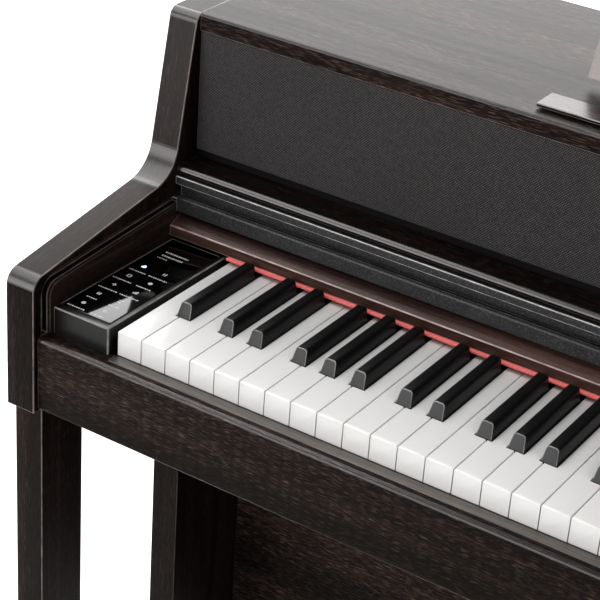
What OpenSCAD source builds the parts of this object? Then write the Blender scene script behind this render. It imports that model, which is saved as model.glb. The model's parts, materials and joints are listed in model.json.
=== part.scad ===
// Digital piano on its stand: a wooden cabinet with a full 88-note keyboard, a
// sliding key cover, a folding music desk and a three-pedal stand.
// +X runs to the treble end, +Y to the back, +Z up. The origin is on the floor,
// under the middle of the object's box. Millimetres.

/* [Keyboard] */
// Distance from one white key to the next
white_pitch = 23.55; // [19:0.05:29]
// Gap between two neighbouring keys
key_gap = 1; // [0.6:0.1:1.5]
// Length of a white key from its front to the felt
white_show = 150.5; // [120:0.1:182]
// Height of a white key's front lip
white_lip_h = 21.5; // [15:0.5:26]
// Thickness of a key's body
key_body_h = 12; // [8:0.5:14]
// Distance from a white key's front back to its pivot
pivot_back = 232; // [215:1:260]
// How far a white key's front goes down
key_dip = 10; // [7:0.5:11]
// Distance from a white key's front to a black key's front
sharp_start = 50; // [40:0.5:60]
// Width of a black key at its foot
sharp_base_w = 13; // [10:0.1:14]
// Width of a black key at its top
sharp_top_w = 9.6; // [8:0.1:10]
// Height of a black key above the white keys
sharp_h = 12; // [9:0.5:13.5]

/* [Cabinet] */
// Height of the white keys' tops above the floor
key_top_h = 742; // [600:1:900]
// Depth of the cabinet, front to back
cabinet_d = 455; // [440:1:560]
// Height of the cabinet's top above the white keys
cabinet_rise = 196.5; // [160:0.5:260]
// How far the cabinet reaches below the white keys' tops
cabinet_drop = 92; // [80:1:120]
// Thickness of the side panels
arm_t = 28.3; // [20:0.1:36]
// How far the side panels stand in front of the white keys
arm_lead = 25; // [22:0.5:34]
// Height of the side panel's sloping shoulder above the keys, at the key fronts
shoulder_h = 34.3; // [31:0.1:40]
// Slope of the shoulder, in degrees
shoulder_slope = 8.64; // [6:0.01:11]
// Radius of the rounded front corner
nose_r = 14; // [8:0.5:15]
// Radius of the hollow bend behind the shoulder
bend_r = 34; // [20:1:40]
// How far the upper front edge leans back, in degrees
lean = 10.76; // [6:0.01:14]
// Thickness of the key bed
bed_t = 18; // [12:0.5:20]
// Thickness of the front rail
rail_t = 19; // [14:0.5:20]
// Thickness of the top board
top_t = 15.5; // [12:0.5:20]
// Thickness of the back panel
back_t = 12; // [6:0.5:18]

/* [End blocks] */
// Width of the blocks beside the keys
block_w = 56.5; // [46:0.5:68]
// Gap between a block and the first key
block_gap = 5.5; // [2:0.5:7]
// Height of the blocks above the white keys
block_rise = 2; // [0:0.5:4]
// Wall of the moulded blocks
case_wall = 2.5; // [2:0.1:3]
// Thickness of the touch panel's glass
glass_t = 1.2; // [1:0.1:2]
// Thickness of the liners beside the blocks
liner_t = 3.2; // [2:0.1:4]

/* [Key cover] */
// Slope of the cover's slot, in degrees
cover_slope = 3.1; // [2:0.1:3.6]
// Height of the slot's floor above the keys, at the key fronts
slot_h = 22.4; // [22:0.1:24]
// Width of the slot
slot_w = 7; // [6:0.1:7.4]
// Depth of the slot in the side panel
slot_depth = 6; // [4:0.5:8]
// Thickness of the cover
cover_t = 4; // [3:0.1:6]
// Length of the cover, front to back
cover_l = 215; // [160:1:230]

/* [Music desk] */
// Width of the music desk
desk_w = 720; // [500:1:900]
// Height of the music desk along its face
desk_h = 154; // [120:1:160]
// Thickness of the music desk
desk_t = 9; // [6:0.5:12]
// Angle of the raised desk above the horizontal, in degrees
desk_angle = 68; // [60:1:75]
// Width of the ledge that holds the sheets
ledge_w = 744; // [500:1:900]
// Depth of the ledge
ledge_d = 26.5; // [16:0.5:32]

/* [Stand] */
// Depth of a front leg
leg_d = 53; // [30:1:80]
// Depth of a rear side panel
side_d = 235; // [200:1:240]
// Thickness of the board between the rear panels
kick_t = 16; // [12:1:22]
// Height of that board's lower edge above the floor
kick_h = 210; // [150:1:260]
// Width of a foot
foot_w = 44; // [36:1:70]
// Height of a foot's top above the floor
foot_h = 60; // [40:1:80]

/* [Pedals] */
// Distance between two pedals
pedal_pitch = 62; // [50:1:72]
// Width of a pedal at its tip
pedal_w = 26; // [20:1:30]
// Length of a pedal in front of its box
pedal_l = 92; // [70:1:100]
// Height of the pedals above the floor
pedal_h = 68; // [55:1:80]

/* [Hidden] */
$fn = 48;

// Colours
wood = "#2b211e";
charcoal = "#3a3b3d";
black = "#161616";
steel = "#b9bcc0";
brass = "#c8a24a";

// Clearance between boards that meet, and between a moving piece and its slot
seam = 0.2;
slack = 0.4;

// Keyboard layout: white key 0 is the low A, letters count C D E F G A B as 0 to 6.
white_count = 52;
first_letter = 5;
// Where the black key after each letter sits, measured from the line between the
// two white keys; undef where there is none
sharp_shift = [-2.2, 2.2, undef, -3.3, 0, 3.5, undef];
key_span = white_count * white_pitch;
key_tail = 12;
sharp_clear = 1;
sharp_slope = 20;
sharp_end = white_show - 8.5;
rod_r = 3;
saddle_clear = 0.05;

// Widths across the cabinet, measured from its middle
block_clear = 0.5;
half_keys = key_span / 2;
half_block = half_keys + block_gap + block_w;
half_liner = half_block + block_clear;
half_inside = half_liner + liner_t;
half_w = half_inside + arm_t;

// Places along Y and Z, measured from the white keys' front edge and top
key_front_y = -cabinet_d / 2 + arm_lead;
back_y = cabinet_d - arm_lead;
rail_gap = 0.9;
rail_front = -rail_t - rail_gap;
rail_back = -rail_gap;
rail_h = white_lip_h + 0.5;
rail_bottom = -cabinet_drop + 2.5;
rail_round = 4.5;
bed_top = -cabinet_drop + 24;
bed_bottom = bed_top - bed_t;
slip_back = rail_back - 0.1;
slip_d = 10.4;
slip_t = 1.2;

// Nameboard and felt behind the keys
name_front = white_show - 1.3;
name_d = 22;
name_foot = 6;
name_face_h = 9.8;
name_slope = 20.5;
felt_w = 11;
felt_t = 2;
felt_show = 3.5;

// Liner and slot
liner_front = 8;
liner_r = 12;
liner_back = 90;
liner_end = name_front + liner_back;

// Cover, at rest pushed right back
cover_front = white_show + 11.5;
cover_lift = 0.4;
cover_run_out = 5;
slot_end = cover_front + cover_l + cover_run_out;
grip_d = 5;
grip_h = 13.9;
grip_hang = 5.7;
cover_half = half_inside + slot_depth - 1;

// Mouldings above the cover
trim_y = white_show + 17.5;
trim_t = 6;
trim_clear = 0.67;
trim_foot = slot_h + (trim_y + trim_t) * tan(cover_slope) + cover_lift
    + cover_t / cos(cover_slope) + trim_clear;
trim_step = 13;
trim_nose = 8;
trim_top = trim_foot + 20.6;
shelf_front = white_show + 10.9;
shelf_t = 8.5;
shelf_top = trim_top + shelf_t;
cloth_y = white_show + 37;
cloth_t = 3;
cloth_gap = 8;
baffle_t = 12;
shelf_back = cloth_y + cloth_t + baffle_t + 0.5;
top_under = cabinet_rise - top_t;
top_front = cloth_y - 0.5;
board_edge = 3;
speaker_x = 480;
speaker_room = 11.5;
speaker_rim = 6;
speaker_r = (top_under - shelf_top) / 2 - speaker_room;
cone_hole_r = speaker_r - speaker_rim;
speaker_z = (shelf_top + top_under) / 2;

// Sockets
jack_hole_r = 3.25;
jack_depth = 30;
jack_pitch = 20;
phones_x = half_inside - 60;
phones_w = 68;
phones_d = 50;
phones_h = 30;
phones_pitch = 28;
phones_front = 6;
plate_z = -20;
plate_h = 44;
plate_d = 22;
sockets_x = half_inside - 100;
housing_gap = 0.6;
sockets_w = 3 * jack_pitch - housing_gap;
inlet_x = half_inside - 190;
inlet_plate_w = 50;
inlet_w = 20;
inlet_h = 10;
inlet_d = 12;

// Music desk: the hinge line, and a wire stay whose leg is nearly as long as the
// distance between the two hinges, so that it turns twice as fast as the desk
desk_back_t = 4;
desk_face_t = desk_t - desk_back_t;
stay_r = 1.8;
stay_lift = 3;
stay_reach = 70;
stay_drop = desk_back_t + stay_r + slack;
stay_trim = stay_drop * (1 - cos(desk_angle)) / sin(desk_angle);
stay_l = stay_reach - stay_trim;
stay_half = 45;
stay_ear_r = stay_lift;
ledge_front = cloth_y + 13;
desk_y = ledge_front + 67.5;
stay_z = cabinet_rise + stay_lift;
desk_z = stay_z + stay_drop;
desk_foot = 2;
hinge_x = 250;
knuckle_w = 24;
knuckle_r = 4.4;
pin_r = 2.5;
pin_clear = 0.05;
ear_t = 4;
ear_gap = 0.5;
stay_wing = stay_half + stay_r + ear_gap;
ear_pocket = stay_ear_r - stay_r;
ledge_t = 3;
ledge_pad = 1.5;

// Stand, with heights from the floor
glide_t = 4;
stand_top = key_top_h - cabinet_drop;
leg_set = 10;
side_back = 15;
side_y = back_y - side_back - side_d;
kick_y = side_y + 105;
foot_nose_r = 20;
bolt_r = 3;
bolt_head_r = 6;
bolt_head_t = 4;
bolt_l = 46;
bolt_zs = [kick_h + 50, (kick_h + stand_top) / 2, stand_top - 60];

// Pedals
pedal_box_w = 2 * pedal_pitch + 66;
pedal_box_d = 84;
pedal_box_h = 62;
pedal_box_z = 38;
pedal_rail_h = 84;
pedal_rail_t = 18;
pedal_rail_z = 30;
pedal_rail_y = side_y + 20;
pedal_front_y = pedal_rail_y - pedal_box_d;
pedal_t = 8;
pedal_pin_y = pedal_rail_y - 18;
pedal_pin_r = 3;
pedal_wall = 3;
pedal_travel = 14;
pedal_slot_w = pedal_w * 0.62;
pedal_pin_half = pedal_slot_w / 2 + 3;
jack_r = 19;
jack_t = 8;
jack_stud_r = 5;
jack_travel = 8;
jack_boss_h = 14;
jack_y = pedal_front_y + 30;

function is_letter(n, letter) = (n + first_letter) % 7 == letter;
function shift_after(n) = sharp_shift[(n + first_letter) % 7];
function has_sharp(n) = n >= 0 && n < white_count - 1 && shift_after(n) != undef;
function sharp_x(n) = -half_keys + (n + 1) * white_pitch + shift_after(n);
function arc(c, r, from, to, steps) =
    [for (i = [0:steps]) let (a = from + (to - from) * i / steps)
        [c[0] + r * cos(a), c[1] + r * sin(a)]];

// Everything above the stand is drawn from the middle of the white keys' front edge
module at_keys() translate([0, key_front_y, key_top_h]) children();

// A side-view outline, Y then Z, drawn out along X from x0 to x1
module along_x(x0, x1) translate([x0, 0, 0]) rotate([90, 0, 90])
    linear_extrude(x1 - x0) children();

// A block between two corners
module block(a, b) translate(a) cube(b - a);

// A rod along X
module rod_x(x0, x1, y, z, r) translate([x0, y, z]) rotate([0, 90, 0])
    cylinder(h = x1 - x0, r = r);

// ---- Side panels -----------------------------------------------------------

module arm_outline() {
    k = tan(shoulder_slope);
    m = tan(lean);
    lean_y = name_front - 2.8;
    nose_y = -arm_lead + nose_r;
    nose_c = [nose_y, shoulder_h + k * nose_y - nose_r / cos(shoulder_slope)];
    a = shoulder_h + bend_r / cos(shoulder_slope);
    b = lean_y - bend_r / cos(lean);
    bend_y = (b + m * a) / (1 - m * k);
    top_r = 10;
    top_z = cabinet_rise - top_r;
    polygon(concat(
        [[-arm_lead, -cabinet_drop]],
        arc(nose_c, nose_r, 180, 90 + shoulder_slope, 14),
        arc([bend_y, a + k * bend_y], bend_r, shoulder_slope - 90, -lean, 18),
        arc([lean_y + m * top_z + top_r / cos(lean), top_z], top_r, 180 - lean, 90, 10),
        [[back_y, cabinet_rise], [back_y, -cabinet_drop]]));
}

// Outline of the liner; grown outwards it is the slot's outer wall
module cheek_outline(grow, far) {
    k = tan(cover_slope);
    r = liner_r + grow;
    cy = -liner_front + liner_r;
    cz = slot_h + k * cy - liner_r / cos(cover_slope);
    polygon(concat(
        [[-liner_front - grow, -rail_h]],
        arc([cy, cz], r, 180, 90 + cover_slope, 12),
        [[far, slot_h + k * far + grow / cos(cover_slope)], [far, -rail_h]]));
}

module cover_slot() {
    intersection() {
        difference() {
            cheek_outline(slot_w, slot_end);
            cheek_outline(0, slot_end + 1);
        }
        translate([-arm_lead, -rail_h]) square([slot_end + arm_lead, 200]);
    }
}

module arm() {
    color(wood) at_keys() difference() {
        along_x(-half_w, -half_inside) arm_outline();
        along_x(-half_inside - slot_depth, -half_inside + 1) cover_slot();
    }
}
module left_arm() arm();
module right_arm() mirror([1, 0, 0]) arm();

module liner() {
    color(wood) at_keys() along_x(-half_inside, -half_liner) cheek_outline(0, liner_end);
}
module left_liner() liner();
module right_liner() mirror([1, 0, 0]) liner();

// ---- Key bed and front rail --------------------------------------------------

module key_bed() {
    color(wood) at_keys()
        block([-half_inside, rail_back, bed_bottom], [half_inside, back_y - back_t, bed_top]);
}

module front_rail() {
    r = rail_round;
    color(wood) at_keys() difference() {
        along_x(-half_inside, half_inside) polygon(concat(
            [[rail_back, rail_bottom], [rail_back, -rail_h]],
            arc([rail_front + r, -rail_h - r], r, 90, 180, 8),
            arc([rail_front + 2, rail_bottom + 2], 2, 180, 270, 4)));
        block([-half_keys - seam, slip_back - slip_d - seam, -rail_h - slip_t],
            [half_keys + seam, 0, 0]);
    }
}

module key_slip() {
    color(steel) at_keys()
        block([-half_keys, slip_back - slip_d, -rail_h - slip_t],
            [half_keys, rail_back - 0.1, -rail_h + 0.3]);
}

// ---- Behind the keys ---------------------------------------------------------

module nameboard() {
    top_z = name_foot + name_face_h;
    slope_end = name_front + 16;
    color(wood) at_keys() along_x(-half_liner + seam, half_liner - seam) polygon([
        [name_front, name_foot], [name_front, top_z],
        [slope_end, top_z + 16 * tan(name_slope)],
        [name_front + name_d, top_z + 16 * tan(name_slope)],
        [name_front + name_d, name_foot]]);
}

module red_felt() {
    y = name_front - felt_show;
    color("#d8403c") at_keys()
        block([-half_keys, y, name_foot - felt_t], [half_keys, y + felt_w, name_foot]);
}

module slot_trim() {
    color(charcoal) at_keys() along_x(-half_inside + seam, half_inside - seam) polygon([
        [trim_y, trim_foot], [trim_y, trim_foot + trim_step],
        [trim_y - trim_nose, trim_foot + trim_step], [trim_y - trim_nose, trim_top],
        [trim_y + trim_t, trim_top], [trim_y + trim_t, trim_foot]]);
}

module speaker_ledge() {
    r = shelf_t / 2;
    color(wood) at_keys() along_x(-half_inside + seam, half_inside - seam) polygon(concat(
        [[shelf_back, trim_top]],
        [[shelf_back, shelf_top]],
        arc([shelf_front + r, trim_top + r], r, 90, 270, 16)));
}

// ---- Cabinet top, cloth and speakers -------------------------------------------

module speaker_cloth() {
    color("#2c2928") at_keys()
        block([-half_inside + 1, cloth_y, shelf_top + cloth_gap],
            [half_inside - 1, cloth_y + cloth_t, top_under - 0.5]);
}

module speaker_baffle() {
    y = cloth_y + cloth_t;
    color(black) at_keys() difference() {
        block([-half_inside + seam, y, shelf_top],
            [half_inside - seam, y + baffle_t, top_under]);
        for (x = [-speaker_x, speaker_x]) translate([x, y - 1, speaker_z])
            rotate([-90, 0, 0]) cylinder(h = baffle_t + 2, r = cone_hole_r);
    }
}

// A paper cone in a pressed basket with a magnet behind it
module speaker(x) {
    y = cloth_y + cloth_t + baffle_t;
    cap_r = 12;
    cone_d = 14;
    neck_r = cone_hole_r - 16;
    magnet_r = neck_r + 2;
    neck_d = 22;
    magnet_d = 42;
    color(steel) at_keys() translate([x, y, speaker_z]) rotate([-90, 0, 0])
        rotate_extrude() polygon([
            [0, cone_d], [cap_r, cone_d], [cone_hole_r - 6, 0.5], [cone_hole_r - 2, 0],
            [speaker_r, 0], [speaker_r, 3], [cone_hole_r, 4], [neck_r, neck_d],
            [neck_r, neck_d + 2], [magnet_r, neck_d + 2], [magnet_r, magnet_d],
            [0, magnet_d]]);
}
module left_speaker() speaker(-speaker_x);
module right_speaker() speaker(speaker_x);

module top_board() {
    r = board_edge;
    color(wood) at_keys() along_x(-half_inside + seam, half_inside - seam) polygon(concat(
        [[back_y, top_under], [back_y, cabinet_rise]],
        arc([top_front + r, cabinet_rise - r], r, 90, 180, 8),
        [[top_front, top_under]]));
}

// A plate let into the back panel; grown outwards it is the panel's cut-out
module rear_plate(x, w, grow, proud) {
    block([x - w / 2 - grow, back_y - back_t - plate_d, plate_z - plate_h / 2 - grow],
        [x + w / 2 + grow, back_y + proud, plate_z + plate_h / 2 + grow]);
}

module back_panel() {
    color(black) at_keys() difference() {
        block([-half_inside + seam, back_y - back_t, -cabinet_drop],
            [half_inside - seam, back_y, top_under]);
        rear_plate(sockets_x, sockets_w, seam, 1);
        rear_plate(inlet_x, inlet_plate_w, seam, 1);
    }
}

// ---- Sliding key cover ---------------------------------------------------------

// Draws from the cover's front edge, at the slot's floor, along the slot's slope
module at_cover() {
    k = tan(cover_slope);
    at_keys() translate([0, cover_front, slot_h + k * cover_front + cover_lift])
        rotate([cover_slope, 0, 0]) children();
}

module key_cover() {
    color(charcoal) at_cover() block([-cover_half, 0, 0], [cover_half, cover_l, cover_t]);
}

module cover_grip() {
    r = 1.5;
    half = half_liner - 0.7;
    z0 = -grip_hang;
    z1 = z0 + grip_h;
    color(charcoal) at_cover() along_x(-half, half) polygon(concat(
        [[0, z0], [0, z1]],
        arc([-grip_d + r, z1 - r], r, 90, 180, 6),
        arc([-grip_d + r, z0 + r], r, 180, 270, 6)));
}

// ---- Keys ----------------------------------------------------------------------

// The round saddle under a key's tail that rides on the pivot rod
module saddle(x0, x1) {
    rod_x(x0 - 1, x1 + 1, pivot_back, -key_body_h, rod_r + saddle_clear);
}

module white_key(n) {
    x0 = -half_keys + n * white_pitch + key_gap / 2;
    x1 = x0 + white_pitch - key_gap;
    cut = sharp_base_w / 2 + sharp_clear;
    t0 = has_sharp(n - 1) ? sharp_x(n - 1) + cut : x0;
    t1 = has_sharp(n) ? sharp_x(n) - cut : x1;
    notch = sharp_start - sharp_clear;
    difference() {
        union() {
            translate([0, 0, -key_body_h]) linear_extrude(key_body_h) polygon([
                [x0, 0], [x1, 0], [x1, notch], [t1, notch],
                [t1, pivot_back + key_tail], [t0, pivot_back + key_tail],
                [t0, notch], [x0, notch]]);
            block([x0, 0, -white_lip_h], [x1, 3, -key_body_h]);
        }
        saddle(x0, x1);
    }
}

module white_keys(letter) {
    color("#f4f3f0") at_keys() for (n = [0:white_count - 1])
        if (is_letter(n, letter)) white_key(n);
}
module c_keys() white_keys(0);
module d_keys() white_keys(1);
module e_keys() white_keys(2);
module f_keys() white_keys(3);
module g_keys() white_keys(4);
module a_keys() white_keys(5);
module b_keys() white_keys(6);

module sharp_key(n) {
    x = sharp_x(n);
    b = sharp_base_w / 2;
    t = sharp_top_w / 2;
    difference() {
        union() {
            // Tapered cap
            translate([x, sharp_end, 0]) rotate([90, 0, 0])
                linear_extrude(sharp_end - sharp_start)
                polygon([[-b, 0], [b, 0], [t, sharp_h], [-t, sharp_h]]);
            block([x - b, sharp_start, -key_body_h],
                [x + b, pivot_back + key_tail, 0]);
        }
        // Sloping front
        translate([x - b - 1, sharp_start, 0]) rotate([-sharp_slope, 0, 0])
            translate([0, -20, 0]) cube([2 * b + 2, 20, 2 * sharp_h]);
        saddle(x - b, x + b);
    }
}

module sharp_keys(letter) {
    color("#1b1b1b") at_keys() for (n = [0:white_count - 2])
        if (is_letter(n, letter) && has_sharp(n)) sharp_key(n);
}
module c_sharp_keys() sharp_keys(0);
module d_sharp_keys() sharp_keys(1);
module f_sharp_keys() sharp_keys(3);
module g_sharp_keys() sharp_keys(4);
module a_sharp_keys() sharp_keys(5);

// How far a key's underside has gone down at distance y from its pivot
function dip_at(y) = key_dip * (pivot_back - y) / pivot_back;

module key_chassis() {
    half = half_keys + 2;
    plate = bed_top + 2;
    plate_front = 6;
    white_bar = [22, 34];
    sharp_bar = [sharp_start + 12, sharp_start + 22];
    rod_bar = 6;
    stop_gap = 0.6;
    white_stop = -key_body_h - dip_at(white_bar[0]) - stop_gap;
    sharp_stop = -key_body_h - dip_at(sharp_bar[0]) - stop_gap;
    color(steel) at_keys() difference() {
        union() {
            block([-half, plate_front, bed_top], [half, pivot_back + key_tail, plate]);
            block([-half, white_bar[0], plate], [half, white_bar[1], white_stop]);
            block([-half, sharp_bar[0], plate], [half, sharp_bar[1], sharp_stop]);
            block([-half, pivot_back - rod_bar, plate],
                [half, pivot_back + rod_bar, -key_body_h - 2]);
        }
        rod_x(-half - 1, half + 1, pivot_back, -key_body_h, rod_r);
    }
}

module key_pivot_rod() {
    color(steel) at_keys()
        rod_x(-half_keys - 2, half_keys + 2, pivot_back, -key_body_h, rod_r);
}

// ---- End blocks ------------------------------------------------------------------

block_front = -5;
block_end = name_front + 8.8;
panel_rim = 2;
panel_inner_rim = 4.5;
panel_front_rim = 8;
panel_back_rim = 7;

// A moulded block, open below, with room in its top for what is set into it
module end_case() {
    x0 = -half_block;
    x1 = x0 + block_w;
    w = case_wall;
    difference() {
        block([x0, block_front, -rail_h], [x1, block_end, block_rise]);
        block([x0 + w, block_front + w, -rail_h - 1],
            [x1 - w, block_end - w, block_rise - 2 * w]);
        children();
    }
}

panel_x0 = -half_block + panel_rim;
panel_x1 = -half_block + block_w - panel_inner_rim;
panel_y0 = block_front + panel_front_rim;
panel_y1 = block_end - panel_back_rim;

module control_case() {
    color(charcoal) at_keys() end_case()
        block([panel_x0, panel_y0, block_rise - glass_t], [panel_x1, panel_y1, block_rise + 1]);
}

module touch_panel() {
    color(black) at_keys() block(
        [panel_x0 + seam, panel_y0 + seam, block_rise - glass_t],
        [panel_x1 - seam, panel_y1 - seam, block_rise]);
}

// The right block is the left one's mirror image, with a power button and a knob
button_x = half_block - block_w / 2;
button_y = 110;
button_r = 8;
button_travel = 2.5;
knob_y = 60;
knob_r = 14;
knob_h = 12;
knob_shaft_r = 3;
turn_clear = 0.08;

module right_end_case() {
    color(charcoal) at_keys() difference() {
        mirror([1, 0, 0]) end_case();
        translate([button_x, button_y, -10]) cylinder(h = 20, r = button_r + slack);
        translate([button_x, knob_y, -10]) cylinder(h = 20, r = knob_shaft_r + turn_clear);
    }
}

module power_button() {
    flange = block_rise - 2 * case_wall - 0.2;
    color(charcoal) at_keys() translate([button_x, button_y, 0]) {
        translate([0, 0, flange])
            cylinder(h = block_rise + button_travel + 0.5 - flange, r = button_r);
        translate([0, 0, flange - 1.5]) cylinder(h = 1.5, r = button_r + 2);
    }
}

module volume_knob() {
    color(charcoal) at_keys() translate([button_x, knob_y, 0]) {
        translate([0, 0, block_rise + 0.5]) cylinder(h = knob_h, r = knob_r);
        translate([0, 0, -8]) cylinder(h = block_rise + 8.5, r = knob_shaft_r);
        translate([0, 0, -8]) cylinder(h = 3, r = knob_shaft_r + 2);
    }
}

// ---- Electronics -------------------------------------------------------------------

// The board on four posts, with a processor, a memory chip and a row of plugs
module main_board() {
    post_h = 8;
    board_half = 150;
    board_d = 96;
    board_t = 1.6;
    z = bed_top + post_h;
    y = pivot_back + key_tail + 26;
    top = z + board_t;
    color("#1f5a3a") at_keys() {
        block([-board_half, y, z], [board_half, y + board_d, top]);
        for (x = [10 - board_half, board_half - 10]) for (dy = [8, board_d - 8])
            translate([x, y + dy, bed_top]) cylinder(h = post_h, r = 3);
        block([-60, y + 20, top], [-20, y + 60, top + 3]);
        block([20, y + 24, top], [44, y + 48, top + 2.6]);
        block([80, y + 14, top], [120, y + 74, top + 14.4]);
    }
}

// Small box under the treble end of the key bed with two headphone sockets
module headphone_panel() {
    z0 = bed_bottom - phones_h;
    color(black) at_keys() difference() {
        block([phones_x - phones_w / 2, phones_front, z0],
            [phones_x + phones_w / 2, phones_front + phones_d, bed_bottom]);
        for (side = [-1, 1])
            translate([phones_x + side * phones_pitch / 2, phones_front - 1, z0 + phones_h / 2])
            rotate([-90, 0, 0]) cylinder(h = jack_depth + 1, r = jack_hole_r);
    }
}

// On the back: a plate with the mains inlet, and three socket housings side by side
module rear_socket_plate() {
    hole_d = 16;
    tip = 2;
    color(black) at_keys() {
        difference() {
            rear_plate(inlet_x, inlet_plate_w, 0, 0);
            block([inlet_x - inlet_w / 2, back_y - inlet_d, plate_z - inlet_h / 2],
                [inlet_x + inlet_w / 2, back_y + 1, plate_z + inlet_h / 2]);
        }
        for (i = [-1:1]) difference() {
            rear_plate(sockets_x + i * jack_pitch, jack_pitch - housing_gap, 0, 0);
            translate([sockets_x + i * jack_pitch, back_y - hole_d, plate_z]) rotate([-90, 0, 0]) {
                cylinder(h = hole_d + 1, r = jack_hole_r);
                translate([0, 0, -tip]) cylinder(h = tip + 0.01, r1 = 1, r2 = jack_hole_r);
            }
        }
    }
}

// ---- Music desk --------------------------------------------------------------------

module music_ledge() {
    z = cabinet_rise + ledge_pad;
    half = ledge_w / 2;
    color(wood) at_keys() {
        block([-half, ledge_front, z], [half, ledge_front + ledge_d, z + ledge_t]);
        for (x = [-half + 12, -22, half - 56])
            block([x, ledge_front + 8, cabinet_rise], [x + 44, ledge_front + ledge_d - 6, z]);
    }
}

// One side cheek of a hinge, with a pin or wire hole through it
module ear(x, y, z, r, hole) {
    difference() {
        union() {
            rod_x(x, x + ear_t, y, z, r);
            block([x, y - r, cabinet_rise], [x + ear_t, y + r, z]);
        }
        rod_x(x - 1, x + ear_t + 1, y, z, hole);
    }
}

module desk_hinges() {
    wing = knuckle_w / 2 + ear_gap;
    color(steel) at_keys() {
        for (x = [-hinge_x, hinge_x]) {
            ear(x - wing - ear_t, desk_y, desk_z, knuckle_r, pin_r - 0.5);
            ear(x + wing, desk_y, desk_z, knuckle_r, pin_r - 0.5);
            rod_x(x - wing - ear_t, x + wing + ear_t, desk_y, desk_z, pin_r);
        }
        for (x = [-stay_wing - ear_t, stay_wing])
            ear(x, desk_y + stay_reach, stay_z, stay_ear_r, stay_r + pin_clear);
    }
}

module at_desk() at_keys() translate([0, desk_y, desk_z]) rotate([desk_angle, 0, 0])
    children();

module music_desk() {
    half = desk_w / 2;
    room = knuckle_w / 2 + ear_gap + ear_t + 1;
    color(wood) at_desk() difference() {
        union() {
            difference() {
                block([-half, -desk_foot, -desk_back_t], [half, desk_h, desk_face_t]);
                for (x = [-hinge_x, hinge_x])
                    block([x - room, -desk_foot - 1, -desk_t], [x + room, knuckle_r + 2, desk_t]);
                // Pockets for the stay's ears when the desk lies flat
                for (x = [-stay_wing - ear_t, stay_wing])
                    block([x - 1, stay_reach - stay_ear_r - 1, -desk_back_t - 1],
                        [x + ear_t + 1, stay_reach + stay_ear_r + 1, -desk_back_t + ear_pocket]);
            }
            for (x = [-hinge_x, hinge_x]) {
                rod_x(x - knuckle_w / 2, x + knuckle_w / 2, 0, 0, knuckle_r);
                block([x - knuckle_w / 2, 0, -desk_back_t],
                    [x + knuckle_w / 2, knuckle_r + 3, desk_back_t]);
            }
        }
        for (x = [-hinge_x, hinge_x])
            rod_x(x - knuckle_w, x + knuckle_w, 0, 0, pin_r + pin_clear);
    }
}

module desk_stay() {
    tip = stay_wing + ear_t + 1;
    color(steel) at_keys() translate([0, desk_y + stay_reach, stay_z])
        rotate([2 * desk_angle, 0, 0]) {
            for (x = [-stay_half, stay_half]) {
                translate([x, 0, 0]) rotate([-90, 0, 0]) cylinder(h = stay_l, r = stay_r);
                translate([x, 0, 0]) sphere(r = stay_r);
                translate([x, stay_l, 0]) sphere(r = stay_r);
            }
            rod_x(-stay_half, stay_half, stay_l, 0, stay_r);
            rod_x(stay_half, tip, 0, 0, stay_r);
            rod_x(-tip, -stay_half, 0, 0, stay_r);
        }
}

// ---- Stand ---------------------------------------------------------------------------

module at_floor() translate([0, key_front_y, 0]) children();

module leg() {
    y = -arm_lead + leg_set;
    color(wood) at_floor() block([-half_w, y, foot_h], [-half_inside, y + leg_d, stand_top]);
}
module left_leg() leg();
module right_leg() mirror([1, 0, 0]) leg();

module bolt_hole(x0, x1, z) rod_x(x0, x1, kick_y + kick_t / 2, z, bolt_r);

module stand_side() {
    color(wood) at_floor() difference() {
        block([-half_w, side_y, foot_h], [-half_inside, side_y + side_d, stand_top]);
        for (z = bolt_zs) {
            bolt_hole(-half_w - 1, -half_inside + 1, z);
            rod_x(-half_w - 1, -half_w + bolt_head_t, kick_y + kick_t / 2, z,
                bolt_head_r + seam);
        }
    }
}
module left_stand_side() stand_side();
module right_stand_side() mirror([1, 0, 0]) stand_side();

module foot() {
    r = foot_nose_r;
    front = -arm_lead;
    color(wood) at_floor() along_x(-half_w, -half_w + foot_w) polygon(concat(
        [[back_y, glide_t], [back_y, foot_h]],
        arc([front + r, foot_h - r], r, 90, 180, 10),
        [[front, glide_t + 6], [front + 6, glide_t]]));
}
module left_foot() foot();
module right_foot() mirror([1, 0, 0]) foot();

module kick_board() {
    end = bolt_l - arm_t + bolt_head_t + 1;
    color(wood) at_floor() difference() {
        block([-half_inside, kick_y, kick_h], [half_inside, kick_y + kick_t, stand_top]);
        for (z = bolt_zs) {
            bolt_hole(-half_inside - 1, -half_inside + end, z);
            bolt_hole(half_inside - end, half_inside + 1, z);
        }
    }
}

module stand_bolts() {
    color(steel) at_floor() for (side = [0, 1]) mirror([side, 0, 0]) for (z = bolt_zs) {
        rod_x(-half_w, -half_w + bolt_head_t, kick_y + kick_t / 2, z, bolt_head_r);
        rod_x(-half_w, -half_w + bolt_l, kick_y + kick_t / 2, z, bolt_r);
    }
}

module floor_glides() {
    color(black) at_floor() for (side = [0, 1]) mirror([side, 0, 0])
        for (y = [-arm_lead + 34, back_y - 30])
            translate([-half_w + foot_w / 2, y, 0]) cylinder(h = glide_t, r = 12);
}

// ---- Pedals --------------------------------------------------------------------------

module pedal_rail() {
    half = half_w - foot_w;
    color(wood) at_floor() block([-half, pedal_rail_y, pedal_rail_z],
        [half, pedal_rail_y + pedal_rail_t, pedal_rail_z + pedal_rail_h]);
}

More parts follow.
